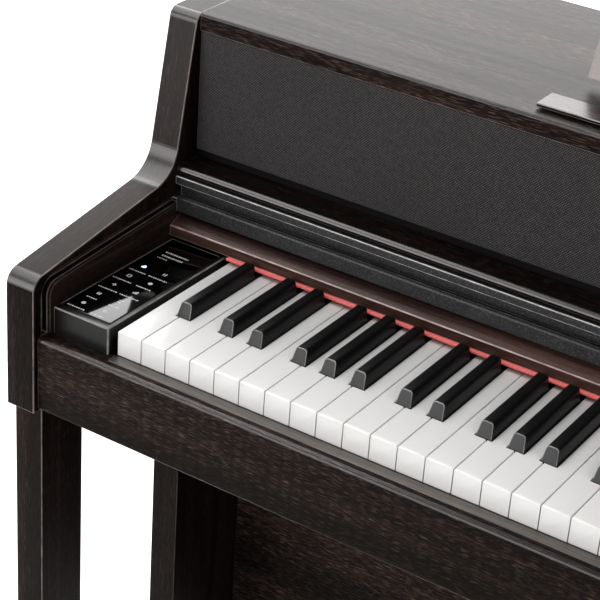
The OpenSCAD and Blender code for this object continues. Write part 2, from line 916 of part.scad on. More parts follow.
module pedal_box() {
    w = pedal_wall;
    half = pedal_box_w / 2;
    z1 = pedal_box_z + pedal_box_h;
    color(black) at_floor() difference() {
        union() {
            difference() {
                block([-half, pedal_front_y, pedal_box_z], [half, pedal_rail_y, z1]);
                block([-half + w, pedal_front_y + w, pedal_box_z + w],
                    [half - w, pedal_rail_y - w, z1 - w]);
                for (i = [-1:1]) block(
                    [i * pedal_pitch - pedal_slot_w / 2 - 1.5, pedal_front_y - 1,
                        pedal_h - pedal_t - pedal_travel],
                    [i * pedal_pitch + pedal_slot_w / 2 + 1.5, pedal_front_y + w + 1,
                        pedal_h + 2]);
            }
            // Boss for the height adjuster
            translate([0, jack_y, pedal_box_z])
                cylinder(h = jack_boss_h, r = jack_stud_r + 4);
            // Cheeks that carry the pedals' pins
            for (i = [-1:1]) for (side = [-1, 1])
                translate([i * pedal_pitch + side * (pedal_slot_w / 2 + 2.5) - 1.5, 0, 0])
                    block([0, pedal_pin_y - 8, pedal_box_z + 1], [3, pedal_pin_y + 8, pedal_h + 6]);
        }
        translate([0, jack_y, pedal_box_z - 1])
            cylinder(h = jack_boss_h + 2, r = jack_stud_r + pin_clear);
        rod_x(-half + w, half - w, pedal_pin_y, pedal_h - pedal_t / 2,
            pedal_pin_r + pin_clear);
    }
}

// A pedal seen from above: a narrow shank that widens to a rounded tip
module pedal_outline() {
    s = pedal_slot_w / 2;
    t = pedal_w / 2;
    tip = pedal_front_y - pedal_l + t;
    polygon(concat(
        [[s, pedal_pin_y + 8], [s, pedal_front_y - 12], [t, tip + 22]],
        arc([0, tip], t, 0, -180, 20),
        [[-t, tip + 22], [-s, pedal_front_y - 12], [-s, pedal_pin_y + 8]]));
}

module pedal(i) {
    color(brass) at_floor() translate([i * pedal_pitch, 0, 0]) {
        translate([0, 0, pedal_h - pedal_t]) linear_extrude(pedal_t) pedal_outline();
        rod_x(-pedal_pin_half, pedal_pin_half, pedal_pin_y, pedal_h - pedal_t / 2,
            pedal_pin_r);
    }
}
module left_pedal() pedal(-1);
module middle_pedal() pedal(0);
module right_pedal() pedal(1);

module pedal_jack() {
    color(black) at_floor() translate([0, jack_y, 0]) {
        cylinder(h = jack_t, r = jack_r);
        cylinder(h = pedal_box_z + jack_travel, r = jack_stud_r);
    }
}

left_arm();
right_arm();
left_liner();
right_liner();
key_bed();
front_rail();
key_slip();
nameboard();
slot_trim();
speaker_ledge();
speaker_baffle();
speaker_cloth();
left_speaker();
right_speaker();
top_board();
back_panel();
key_cover();
cover_grip();
key_chassis();
key_pivot_rod();
red_felt();
control_case();
touch_panel();
right_end_case();
power_button();
volume_knob();
main_board();
music_ledge();
desk_hinges();
music_desk();
desk_stay();
left_leg();
right_leg();
left_stand_side();
right_stand_side();
left_foot();
right_foot();
kick_board();
pedal_rail();
pedal_box();
left_pedal();
middle_pedal();
right_pedal();
pedal_jack();
floor_glides();
headphone_panel();
rear_socket_plate();
stand_bolts();
c_keys();
d_keys();
e_keys();
f_keys();
g_keys();
a_keys();
b_keys();
c_sharp_keys();
d_sharp_keys();
f_sharp_keys();
g_sharp_keys();
a_sharp_keys();
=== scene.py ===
# %% [markdown]
# # A digital piano on its stand
# The wooden case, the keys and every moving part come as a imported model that
# already has its true sizes and its joints. This lesson dresses that model:
# each board gets eased edges and a film of dark rosewood, and the keys, the
# touch panel, the cloth and the pedals are worked out as smooth surfaces.
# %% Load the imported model
import json
import math
import bmesh
import bpy
import numpy as np
from mathutils import Matrix, Vector

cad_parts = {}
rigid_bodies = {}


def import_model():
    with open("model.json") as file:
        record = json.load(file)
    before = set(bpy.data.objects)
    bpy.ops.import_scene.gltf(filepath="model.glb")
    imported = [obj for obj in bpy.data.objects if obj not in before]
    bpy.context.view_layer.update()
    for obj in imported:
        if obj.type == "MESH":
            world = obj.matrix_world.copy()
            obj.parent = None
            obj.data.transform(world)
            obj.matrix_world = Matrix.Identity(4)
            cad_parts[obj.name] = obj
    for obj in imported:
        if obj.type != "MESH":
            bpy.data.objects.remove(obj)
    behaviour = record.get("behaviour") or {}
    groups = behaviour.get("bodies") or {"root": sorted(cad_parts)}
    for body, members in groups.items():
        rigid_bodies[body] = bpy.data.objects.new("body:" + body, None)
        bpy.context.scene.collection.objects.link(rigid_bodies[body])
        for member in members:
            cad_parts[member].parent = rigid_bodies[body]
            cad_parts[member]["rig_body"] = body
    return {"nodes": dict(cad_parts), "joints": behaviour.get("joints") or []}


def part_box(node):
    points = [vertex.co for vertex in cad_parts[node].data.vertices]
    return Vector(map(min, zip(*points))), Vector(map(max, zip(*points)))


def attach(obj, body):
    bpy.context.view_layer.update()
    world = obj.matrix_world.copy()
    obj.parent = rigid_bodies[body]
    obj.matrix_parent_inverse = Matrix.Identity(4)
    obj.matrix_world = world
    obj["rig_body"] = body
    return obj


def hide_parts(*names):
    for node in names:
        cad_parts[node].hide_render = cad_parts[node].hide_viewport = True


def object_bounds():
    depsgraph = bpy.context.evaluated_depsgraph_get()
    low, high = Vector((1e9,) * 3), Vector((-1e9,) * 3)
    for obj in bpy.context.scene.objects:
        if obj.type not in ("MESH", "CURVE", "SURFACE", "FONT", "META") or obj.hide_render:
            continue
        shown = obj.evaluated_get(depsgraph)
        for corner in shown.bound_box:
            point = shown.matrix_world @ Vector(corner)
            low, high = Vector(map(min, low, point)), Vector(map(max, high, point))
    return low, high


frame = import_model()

cad_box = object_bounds()
MM = 0.001
print("model box:", [round(v, 4) for corner in cad_box for v in corner])

# %% [markdown]
# ## Camera
# A long lens from the right, a little above eye level, looks down along the
# keys. The camera stands close to the bass end and is tipped by four degrees.
# Its direction is built from three turns, and the three axes fill a matrix.
# %% Camera
LENS_MM = 116.3
AZIMUTH, ELEVATION, ROLL = (math.radians(a) for a in (31.773, 29.018, 4.109))
CAMERA_PLACE = Vector((0.2039, -1.2511, 1.5147))

back = Vector((math.sin(AZIMUTH) * math.cos(ELEVATION),
               -math.cos(AZIMUTH) * math.cos(ELEVATION), math.sin(ELEVATION)))
right = Vector((math.cos(AZIMUTH), math.sin(AZIMUTH), 0))
up = back.cross(right)
axes = Matrix((math.cos(ROLL) * right + math.sin(ROLL) * up,
               -math.sin(ROLL) * right + math.cos(ROLL) * up, back)).transposed()
camera = bpy.data.objects.new("camera", bpy.data.cameras.new("camera"))
camera.data.lens = LENS_MM
camera.data.sensor_width = 36
camera.data.clip_end = 60
camera.matrix_world = Matrix.Translation(CAMERA_PLACE) @ axes.to_4x4()
bpy.context.scene.collection.objects.link(camera)
bpy.context.scene.camera = camera
bpy.context.scene.view_settings.view_transform = "Standard"
print("camera:", [round(v, 3) for v in camera.location])

# %% [markdown]
# ## Helpers for surfaces
# Nearly every new piece is a stack of closed rings: an outline that changes as
# it climbs, such as a key's cap, or a section that is carried along a line,
# such as a pedal. Both are one grid of points, so one function joins them.
# %% Rings to mesh
def ring_mesh(name, stacks):
    """Joins stacks of closed rings into one closed mesh.

    A stack is an array of rings, points and x, y, z. Point j of ring i is
    joined with its next neighbour and with the same points of ring i + 1, and
    the first and last rings are closed with a face each.
    """
    points, faces, start = [], [], 0
    for stack in stacks:
        rings, count = stack.shape[:2]
        points.append(stack.reshape(-1, 3))
        i, j = np.meshgrid(np.arange(rings - 1), np.arange(count), indexing="ij")
        k = (j + 1) % count
        quads = np.stack([i * count + j, i * count + k,
                          (i + 1) * count + k, (i + 1) * count + j], axis=-1)
        faces += (quads.reshape(-1, 4) + start).tolist()
        faces.append((np.arange(count)[::-1] + start).tolist())
        faces.append((np.arange(count) + (rings - 1) * count + start).tolist())
        start += rings * count
    mesh = bpy.data.meshes.new(name)
    mesh.from_pydata(np.concatenate(points).tolist(), [], faces)
    work = bmesh.new()
    work.from_mesh(mesh)
    bmesh.ops.remove_doubles(work, verts=work.verts, dist=1e-6)
    bmesh.ops.dissolve_degenerate(work, edges=work.edges, dist=1e-6)
    bmesh.ops.recalc_face_normals(work, faces=work.faces)
    work.to_mesh(mesh)
    work.free()
    return mesh


# %% [markdown]
# Each new piece rides on the body of the node it stands for, so it moves with
# that node's joint. Its slot tells which of the model's materials it wears. A
# few faces, such as the rim of a key, are marked for a painted highlight.
# %% Placing and marking pieces
def place(name, mesh, material, body, replaced=(), sharp=32):
    """Puts a mesh into the scene as a piece that rides on a body.

    Faces are shaded smooth, and an edge where they meet at more than the
    sharp angle, in degrees, stays crisp.
    """
    piece = bpy.data.objects.new(name, mesh)
    bpy.context.scene.collection.objects.link(piece)
    mesh.materials.clear()
    mesh.materials.append(material)
    mesh.polygons.foreach_set("use_smooth", np.ones(len(mesh.polygons), bool))
    mesh.set_sharp_from_angle(angle=math.radians(sharp))
    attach(piece, body)
    if replaced:
        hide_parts(*replaced)
    return piece


def dress(nodes, material):
    """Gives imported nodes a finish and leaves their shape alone."""
    for node in nodes:
        frame["nodes"][node].data.materials.clear()
        frame["nodes"][node].data.materials.append(material)


def mark_edge_highlight(mesh, chosen):
    """Writes the value, 0 to 1, of a painted highlight, worked out from centres and
    normals.
    """
    count = len(mesh.polygons)
    centres, normals = np.zeros(count * 3), np.zeros(count * 3)
    mesh.polygons.foreach_get("center", centres)
    mesh.polygons.foreach_get("normal", normals)
    wear = chosen(centres.reshape(-1, 3), normals.reshape(-1, 3)).astype(float)
    mesh.attributes.new("wear", "FLOAT", "FACE").data.foreach_set("value", wear)
    return mesh


# %% [markdown]
# A rounded rectangle is the outline of most moulded things. Each of its points
# is a corner of an inner rectangle plus a short arm that turns once round.
# %% Rounded rectangles
def rounded_rings(centre, half_x, half_y, radius, height, corner_steps=4):
    """Rings of rounded rectangles, one for each height.

    A point is centre + sign * (half size - radius) + radius * (cos t, sin t),
    where t runs once round and the sign is that of its quarter.
    """
    half_x, half_y, radius, height, cx, cy = np.broadcast_arrays(
        half_x, half_y, radius, height, centre[0], centre[1])
    turn = np.linspace(0, math.pi / 2, corner_steps)
    t = np.concatenate([turn + q * math.pi / 2 for q in range(4)])
    sx = np.repeat([1, -1, -1, 1], corner_steps)
    sy = np.repeat([1, 1, -1, -1], corner_steps)
    x = cx[:, None] + sx * (half_x - radius)[:, None] + radius[:, None] * np.cos(t)
    y = cy[:, None] + sy * (half_y - radius)[:, None] + radius[:, None] * np.sin(t)
    z = np.repeat(height[:, None], len(t), axis=1)
    return np.stack([x, y, z], axis=-1)


def shells(node):
    """The corner points of each separate solid of a node, from left to right."""
    work = bmesh.new()
    work.from_mesh(frame["nodes"][node].data)
    bmesh.ops.remove_doubles(work, verts=work.verts, dist=0.004 * MM)
    left, found = set(work.verts), []
    while left:
        group, edge = set(), [left.pop()]
        while edge:
            vert = edge.pop()
            group.add(vert)
            near = {e.other_vert(vert) for e in vert.link_edges} & left
            left -= near
            edge += near
        found.append(np.array([v.co for v in group]))
    work.free()
    return sorted(found, key=lambda co: co[:, 0].min())


# %% [markdown]
# ## Boards with eased edges
# No board in a workshop has a perfectly sharp edge: sandpaper or the wrapped
# film leaves a radius under a millimetre. The packed boards are loose
# triangles, so a copy is merged and its sharp edges are rounded. The narrow
# faces of that rounding carry an edge-highlight value of one, from which the
# finishes paint a fine light line along an edge: a painted highlight.
# %% Eased copies
def tilt_share(largest):
    """0 up to 9.5 degrees from an axis, 1 from 17.5 degrees: t = (angle - 9.5) / 8."""
    return np.clip((np.degrees(np.arccos(np.clip(largest, -1, 1))) - 9.5) / 8, 0, 1)


BEVEL_STEPS = 3
SHARP = math.radians(35)


def eased(node, edge, material):
    """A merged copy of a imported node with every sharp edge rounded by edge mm."""
    source = frame["nodes"][node]
    mesh = bpy.data.meshes.new(node + "_finished")
    work = bmesh.new()
    work.from_mesh(source.data)
    bmesh.ops.remove_doubles(work, verts=work.verts, dist=0.004 * MM)
    bmesh.ops.dissolve_degenerate(work, edges=work.edges, dist=0.004 * MM)
    bmesh.ops.dissolve_limit(work, angle_limit=math.radians(0.4),
                             verts=work.verts, edges=work.edges)
    wear = work.faces.layers.float.new("wear")
    curve = work.faces.layers.float.new("curve")
    corners = [e for e in work.edges if len(e.link_faces) == 2
               and e.calc_face_angle() > SHARP]
    rounding = bmesh.ops.bevel(work, geom=corners, offset=edge * MM, segments=BEVEL_STEPS,
                               profile=0.5, affect="EDGES", clamp_overlap=True,
                               miter_outer="ARC")
    # These faces carry the value from which the finishes paint a highlight.
    for face in rounding["faces"]:
        face[wear] = 1.0
    for face in work.faces:
        face[curve] = float(tilt_share(max(abs(v) for v in face.normal)))
    work.to_mesh(mesh)
    work.free()
    for layer in [a for a in mesh.attributes if a.name == "custom_normal"]:
        mesh.attributes.remove(layer)
    piece = place(mesh.name, mesh, material, source["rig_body"], [node], 180)
    normals = piece.modifiers.new("flat faces stay flat", "WEIGHTED_NORMAL")
    normals.weight = 80
    return piece


# %% [markdown]
# ## Helpers for finishes
# Colours are written as the eye sees them, in sRGB hex. A renderer adds up
# light, so each one is turned to linear light first.
# %% Colours and nodes
def linear(colour):
    """sRGB hex to linear: c / 12.92 near black, else ((c + 0.055) / 1.055) ^ 2.4."""
    c = np.array([int(colour[i:i + 2], 16) for i in (1, 3, 5)]) / 255
    return (*np.where(c <= 0.04045, c / 12.92, ((c + 0.055) / 1.055) ** 2.4), 1.0)


def add(tree, kind, inputs=(), **settings):
    """Adds one node. inputs maps a socket to a value or to an output it follows."""
    new = tree.nodes.new("ShaderNode" + kind)
    for name, value in settings.items():
        setattr(new, name, value)
    for socket, value in dict(inputs).items():
        if isinstance(value, bpy.types.NodeSocket):
            tree.links.new(value, new.inputs[socket])
        else:
            new.inputs[socket].default_value = value
    return new


def new_finish(name, **constants):
    """An empty finish: its node tree, its shader and the piece's own coordinates."""
    material = bpy.data.materials.new(name)
    material.use_nodes = True
    tree = material.node_tree
    shader = tree.nodes["Principled BSDF"]
    for socket, value in constants.items():
        shader.inputs[socket.replace("_", " ")].default_value = value
    coords = tree.nodes.new("ShaderNodeTexCoord")
    return material, tree, shader, coords.outputs["Object"]


# %% [markdown]
# The painted highlight along an edge is never even: it is pale in some places
# and dark in others. So its value is multiplied by slow noise before it mixes
# in the paler colour. A ramp turns noise into given colours.
# %% Painted edge highlight and colour ramps
HIGHLIGHT_PATCH_MM = 14


def painted_edge_highlight(tree, colour, highlight_colour, amount):
    """A painted highlight: a paler colour where the highlight value is one, in uneven
    patches.
    """
    if not amount:
        return colour
    wear = add(tree, "Attribute", attribute_name="wear").outputs["Fac"]
    coords = add(tree, "TexCoord").outputs["Object"]
    patch = add(tree, "TexNoise", {"Vector": coords, "Scale": 1000 / HIGHLIGHT_PATCH_MM,
                                   "Detail": 3.0})
    uneven = add(tree, "MapRange", {"Value": patch.outputs["Fac"], "From Min": 0.3,
                                    "From Max": 0.65, "To Min": 0.35 * amount,
                                    "To Max": amount})
    share = add(tree, "Math", {0: wear, 1: uneven.outputs[0]}, operation="MULTIPLY")
    mixed = add(tree, "Mix", {0: share.outputs[0], 6: colour, 7: linear(highlight_colour)},
                data_type="RGBA")
    return mixed.outputs[2]


def ramp(tree, source, stops):
    """A colour ramp: stops are pairs of a position and an sRGB hex colour."""
    node = add(tree, "ValToRGB", {"Fac": source})
    while len(node.color_ramp.elements) < len(stops):
        node.color_ramp.elements.new(0.5)
    for element, (position, colour) in zip(node.color_ramp.elements, stops):
        element.position = position
        element.color = linear(colour)
    return node.outputs["Color"]


# %% [markdown]
# ## Rosewood film
# The case is fibreboard wrapped in a printed rosewood film under a satin
# lacquer: near black, with warm brown streaks as long as a hand and short pale
# pores that lie along the grain. All three are the same noise, squeezed across
# the grain and stretched along it. Pores are about 0.3 mm wide on the real
# film and are drawn at 0.4 mm, so that they show. Unless a film sets its own
# gloss, the lacquer shines only on curved faces: a flat front would mirror the
# pale floor.
# %% Rosewood
GRAIN_MM = {"pore": (0.4, 11), "streak": (4, 130), "board": (34, 600)}
PORE_COLOUR = "#63544d"
LACQUER_ROUGHNESS = 0.25
FACES_SIDEWAYS = 0.7


def rosewood(name, along, pores=1.0, roughness=0.4, wrap=False, dark="#070504",
             middle="#0e0908", warm="#1f1512", specular=0.05, edge_highlight_colour="#94837e",
             edge=0.5, shine_share=0.9, **constants):
    """Rosewood film with its grain along x, y or z.

    With wrap, faces that look along x have their grain up z, and the narrow
    edge faces have it along the edge, as a strip of film wrapped round them.
    Rounded edges are polished by hands: there the lacquer's gloss is stronger.
    """
    material, tree, shader, place_on = new_finish(name, Specular_IOR_Level=specular,
                                                  **constants)
    shader.inputs["Specular Tint"].default_value = linear("#f0d9cf")
    if "Coat_Weight" not in constants:
        curve = add(tree, "Attribute", attribute_name="curve").outputs["Fac"]
        shine = add(tree, "Math", {0: curve, 1: shine_share}, operation="MULTIPLY")
        tree.links.new(shine.outputs[0], shader.inputs["Coat Weight"])
        shader.inputs["Coat Roughness"].default_value = LACQUER_ROUGHNESS

    def grain(kind, detail):
        across, along_mm = GRAIN_MM[kind]
        scale = [1000 / across] * 3
        scale["xyz".index(along)] = 1000 / along_mm
        vector = add(tree, "Mapping", {"Vector": place_on, "Scale": scale})
        vector = vector.outputs["Vector"]
        if wrap:
            edge_scale = (1000 / across, 1000 / along_mm, 1000 / along_mm)
            edges = add(tree, "Mapping", {"Vector": place_on, "Scale": edge_scale})
            coords = add(tree, "TexCoord")
            facing = add(tree, "SeparateXYZ", {"Vector": coords.outputs["Normal"]})
            side = add(tree, "Math", {0: facing.outputs["X"]}, operation="ABSOLUTE")
            side = add(tree, "Math", {0: side.outputs[0], 1: FACES_SIDEWAYS},
                       operation="GREATER_THAN")
            blend = add(tree, "Mix", {0: side.outputs[0], 4: edges.outputs["Vector"],
                                      5: vector}, data_type="VECTOR")
            vector = blend.outputs[1]
        noise = add(tree, "TexNoise", {"Vector": vector, "Scale": 1.0, "Detail": detail,
                                       "Roughness": 0.5, "Distortion": 0.05})
        return noise.outputs["Fac"]

    pore, streak, board = grain("pore", 2.0), grain("streak", 3.0), grain("board", 2.0)
    tone = add(tree, "Math", {0: streak, 1: board}, operation="ADD")
    tone = add(tree, "Math", {0: tone.outputs[0], 1: 0.5}, operation="MULTIPLY")
    wood = ramp(tree, tone.outputs[0], [(0.38, dark), (0.50, middle), (0.62, warm)])
    where = add(tree, "MapRange", {"Value": pore, "From Min": 0.575, "From Max": 0.67,
                                   "To Min": 0.0, "To Max": pores})
    patch = add(tree, "MapRange", {"Value": board, "From Min": 0.35, "From Max": 0.62,
                                   "To Min": 0.35, "To Max": 1.0})
    strength = add(tree, "Math", {0: where.outputs[0], 1: patch.outputs[0]},
                   operation="MULTIPLY")
    colour = add(tree, "Mix", {0: strength.outputs[0], 6: wood, 7: linear(PORE_COLOUR)},
                 data_type="RGBA")
    # The edge colour, at the edge share, is a painted highlight on the eased edges.
    tree.links.new(painted_edge_highlight(tree, colour.outputs[2], edge_highlight_colour, edge),
                   shader.inputs["Base Color"])
    gloss = add(tree, "MapRange", {"Value": streak, "To Min": roughness - 0.07,
                                   "To Max": roughness + 0.09})
    tree.links.new(gloss.outputs[0], shader.inputs["Roughness"])
    bump = add(tree, "Bump", {"Height": pore, "Strength": 0.35, "Distance": 0.08 * MM})
    tree.links.new(bump.outputs["Normal"], shader.inputs["Normal"])
    return material


# %% [markdown]
# One function makes every film on the case. They differ in the direction of the
# grain, in how many pores show, and in colour: redder on the nameboard, browner
# on the liners and the feet, and glossier on the music desk.
# %% Films for each board
# Each film's pale edge colour and edge share paint a highlight along its eased edges; it is
# strongest on the nameboard.
rosewood_long = rosewood("rosewood_film_long", "x", pores=0.85, shine_share=0.5)
rosewood_ledge = rosewood("rosewood_film_ledge", "x", pores=0.4, shine_share=1.0)
rosewood_upright = rosewood("rosewood_film_upright", "z", pores=0.35)
rosewood_side = rosewood("rosewood_film_side", "z", pores=0.35, wrap=True)
rosewood_deep = rosewood("rosewood_film_deep", "y", pores=0.4, dark="#150f0d",
                         middle="#211815", warm="#3a2b26", edge=0.1, shine_share=0.2)
rosewood_warm = rosewood("rosewood_film_warm", "x", pores=0.5, dark="#211613",
                         middle="#34241f", warm="#4d3630", edge_highlight_colour="#b79a96", edge=0.9)
rosewood_satin = rosewood("rosewood_film_satin", "x", pores=0.5, roughness=0.28,
                          specular=0.5, edge_highlight_colour="#c9c4c6", Coat_Weight=1.0,
                          Coat_Roughness=0.16)
rosewood_bar = rosewood("rosewood_film_bar", "x", pores=0.5, roughness=0.26,
                        specular=0.1, edge_highlight_colour="#c9c4c6", Coat_Weight=0.08,
                        Coat_Roughness=0.16)
print("rosewood grain, mm across and along:", GRAIN_MM)

# %% [markdown]
# ## Boards of the case and the stand
# Boards that run along the keyboard have their grain along it, and posts and
# side panels have it upright.
# %% Boards
LONG_BOARDS = ["front_rail", "top_board", "kick_board", "pedal_rail"]
UPRIGHTS = ["left_leg", "right_leg", "left_stand_side", "right_stand_side"]
for node in LONG_BOARDS:
    eased(node, 0.8, rosewood_long)
for node in UPRIGHTS:
    eased(node, 0.8, rosewood_upright)
for node in ["left_arm", "right_arm"]:
    eased(node, 0.9, rosewood_side)
for node in ["left_liner", "right_liner", "left_foot", "right_foot"]:
    eased(node, 0.7, rosewood_deep)
eased("music_desk", 0.9, rosewood_satin)
eased("music_ledge", 0.7, rosewood_bar)
eased("nameboard", 0.8, rosewood_warm)
eased("speaker_ledge", 0.8, rosewood_ledge)
print("boards:", len(LONG_BOARDS) + len(UPRIGHTS) + 10)

# %% [markdown]
# ## Charcoal paint and moulded plastic
# The key cover, its grip and the moulding above it are sprayed charcoal with a
# fine metal flake. The end blocks are moulded in a plain satin plastic with a
# spark-eroded grain that is felt more than seen.
# %% Charcoal finishes
CLOUDS_PER_M = 14


def speckled(name, base, fleck, grain_mm, roughness, fleck_share, bump_mm,
             edge_highlight_colour="#6b6966", edge=0.0, **constants):
    """A flat colour with fine flecks: noise over a threshold, and a little bump."""
    material, tree, shader, place_on = new_finish(name, **constants)
    fine = add(tree, "TexNoise", {"Vector": place_on, "Scale": 1000 / grain_mm,
                                  "Detail": 1.0})
    broad = add(tree, "TexNoise", {"Vector": place_on, "Scale": CLOUDS_PER_M,
                                   "Detail": 3.0})
    flecks = add(tree, "MapRange", {"Value": fine.outputs["Fac"], "From Min": 0.5,
                                    "From Max": 0.8, "To Max": fleck_share})
    mixed = add(tree, "Mix", {0: flecks.outputs[0], 6: linear(base), 7: linear(fleck)},
                data_type="RGBA")
    # The edge colour, at the edge share, is a painted highlight on the eased edges.
    tree.links.new(painted_edge_highlight(tree, mixed.outputs[2], edge_highlight_colour, edge),
                   shader.inputs["Base Color"])
    gloss = add(tree, "MapRange", {"Value": broad.outputs["Fac"],
                                   "To Min": roughness - 0.06, "To Max": roughness + 0.06})
    tree.links.new(gloss.outputs[0], shader.inputs["Roughness"])
    bump = add(tree, "Bump", {"Height": fine.outputs["Fac"], "Strength": 0.5,
                              "Distance": bump_mm * MM})
    tree.links.new(bump.outputs["Normal"], shader.inputs["Normal"])
    return material


# The pale colour after the bump size, with its share, paints a highlight along the eased
# edges.
charcoal_paint = speckled("charcoal_flake_paint", "#222121", "#6a686d", 1.1, 0.42, 0.5,
                          0.02, "#cfcdcd", 0.85, Specular_IOR_Level=0.25)
charcoal_plastic = speckled("charcoal_moulded_abs", "#090807", "#1b1918", 0.9, 0.36, 0.4,
                            0.015, "#a09c98", 0.75, Specular_IOR_Level=0.25)
black_plastic = speckled("black_moulded_abs", "#0e0e0e", "#2a2a2a", 0.9, 0.5, 0.4, 0.03,
                         "#4a4846", 0.4, Specular_IOR_Level=0.3)
# This near black is partly the boards' own black paint and partly painted shade for the
# dark gap between the speaker ledge and the cloth.
black_paint_and_shade = speckled("black_painted_fibreboard", "#050404", "#131110", 2.4, 0.7,
                             0.5, 0.05, Specular_IOR_Level=0.08)
black_rubber = speckled("black_rubber", "#0f0f0f", "#262626", 1.6, 0.75, 0.4, 0.05)
for node in ["slot_trim", "key_cover", "cover_grip"]:
    eased(node, 0.8, charcoal_paint)
eased("right_end_case", 1.2, charcoal_plastic)
eased("power_button", 0.8, charcoal_plastic)
for node in ["headphone_panel", "rear_socket_plate", "pedal_box"]:
    eased(node, 0.6, black_plastic)
for node in ["speaker_baffle", "back_panel"]:
    eased(node, 0.4, black_paint_and_shade)
eased("floor_glides", 0.8, black_rubber)
print("clouds of gloss, mm:", round(1000 / CLOUDS_PER_M))

# %% [markdown]
# ## Metals
# Zinc-plated steel is cool and slightly mottled. The slip strip in front of
# the keys is satin aluminium, and the pedals are polished brass, which keeps
# fine rubbing marks that run to the front.
# %% Metals
METAL_GLOSS_SPREAD = 0.08


def metal(name, colour, shade, roughness, marks_mm):
    """A metal: its tint varies between two colours along fine rubbing marks."""
    material, tree, shader, place_on = new_finish(name, Metallic=1.0)
    stretched = add(tree, "Mapping", {"Vector": place_on,
                                      "Scale": [1000 / m for m in marks_mm]})
    marks = add(tree, "TexNoise", {"Vector": stretched.outputs["Vector"], "Scale": 1.0,
                                   "Detail": 3.0})
    tint = ramp(tree, marks.outputs["Fac"], [(0.35, shade), (0.65, colour)])
    tree.links.new(tint, shader.inputs["Base Color"])
    gloss = add(tree, "MapRange", {"Value": marks.outputs["Fac"],
                                   "To Min": roughness - METAL_GLOSS_SPREAD,
                                   "To Max": roughness + METAL_GLOSS_SPREAD})
    tree.links.new(gloss.outputs[0], shader.inputs["Roughness"])
    bump = add(tree, "Bump", {"Height": marks.outputs["Fac"], "Strength": 0.25,
                              "Distance": 0.02 * MM})
    tree.links.new(bump.outputs["Normal"], shader.inputs["Normal"])
    return material


plated_steel = metal("zinc_plated_steel", "#b4b7bb", "#8d9094", 0.35, (6, 6, 6))
slip_aluminium = metal("satin_aluminium_strip", "#7d7874", "#605b57", 0.42, (40, 0.6, 0.6))
pedal_brass = metal("polished_brass", "#d9b25e", "#b98f3f", 0.16, (0.8, 30, 0.8))
eased("key_slip", 0.15, slip_aluminium)
eased("desk_hinges", 0.3, plated_steel)
dress(["key_chassis", "key_pivot_rod", "desk_stay", "stand_bolts"], plated_steel)
print("metals:", [m.name for m in (plated_steel, slip_aluminium, pedal_brass)])

# %% [markdown]
# ## White keys
# A white key is a moulded shell with a glossy top whose edges are just broken.
# It is a rounded section carried from front to back: the section narrows where
# a black key stands beside it, is deeper at the front lip, and hollows over
# the pivot rod at the tail. The front top edge rounds over as a quarter turn.
# %% White keys
KEY_EDGE = 0.8 * MM
LIP_DEPTH = 3 * MM
SADDLE_R = 3.05 * MM


def section(x0, x1, bottom, top, y, edge):
    """One upright ring at y: a rectangle whose two top corners are rounded."""
    t = np.linspace(0, math.pi / 2, 4)
    left_x, left_z = x0 + edge - edge * np.cos(t), top - edge + edge * np.sin(t)
    right_x = x1 - edge + edge * np.cos(t[::-1])
    x = np.concatenate([[x0], left_x, right_x, [x1]])
    z = np.concatenate([[bottom], left_z, left_z[::-1], [bottom]])
    return np.stack([x, np.full_like(x, y), z], axis=-1)


def white_key(x0, x1, tail0, tail1, y0, y1, notch, lip, body, top, rod_y):
    """The rings of one white key, from its front lip to its tail."""
    rings = []
    for a in np.linspace(0, math.pi / 2, 5):
        rings.append(section(x0, x1, lip, top - KEY_EDGE * (1 - math.sin(a)),
                             y0 + KEY_EDGE * (1 - math.cos(a)), KEY_EDGE * 0.7))
    side = KEY_EDGE * 0.7
    for y, low in [(y0 + LIP_DEPTH, lip), (y0 + LIP_DEPTH, body), (notch, body)]:
        rings.append(section(x0, x1, low, top, y, side))
    saddle = [(rod_y + d, body + math.sqrt(max(SADDLE_R ** 2 - d * d, 0)))
              for d in np.linspace(-1, 1, 9) * SADDLE_R]
    for y, low in [(notch, body)] + saddle + [(y1, body)]:
        rings.append(section(tail0, tail1, low, top, y, side))
    return np.array(rings)


# %% [markdown]
# The keys are moulded in white acrylic, which is glossy and very even: its
# clouds and rubbed patches are only just seen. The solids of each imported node
# give the width, the cut for a black key and the tail of every single key.
# %% White acrylic keys
POLISH_SPREAD = 0.006
HAZE_PER_M, RUBS_PER_M = 22, 90


def polished(name, colour, shade, roughness, **constants):
    """A glossy moulding: faint clouding of colour and a slight change of gloss."""
    material, tree, shader, place_on = new_finish(name, **constants)
    cloud = add(tree, "TexNoise", {"Vector": place_on, "Scale": HAZE_PER_M,
                                   "Detail": 3.0})
    tint = ramp(tree, cloud.outputs["Fac"], [(0.3, shade), (0.7, colour)])
    tree.links.new(tint, shader.inputs["Base Color"])
    rub = add(tree, "TexNoise", {"Vector": place_on, "Scale": RUBS_PER_M, "Detail": 3.0})
    gloss = add(tree, "MapRange", {"Value": rub.outputs["Fac"],
                                   "To Min": roughness - POLISH_SPREAD,
                                   "To Max": roughness + POLISH_SPREAD})
    tree.links.new(gloss.outputs[0], shader.inputs["Roughness"])
    return material


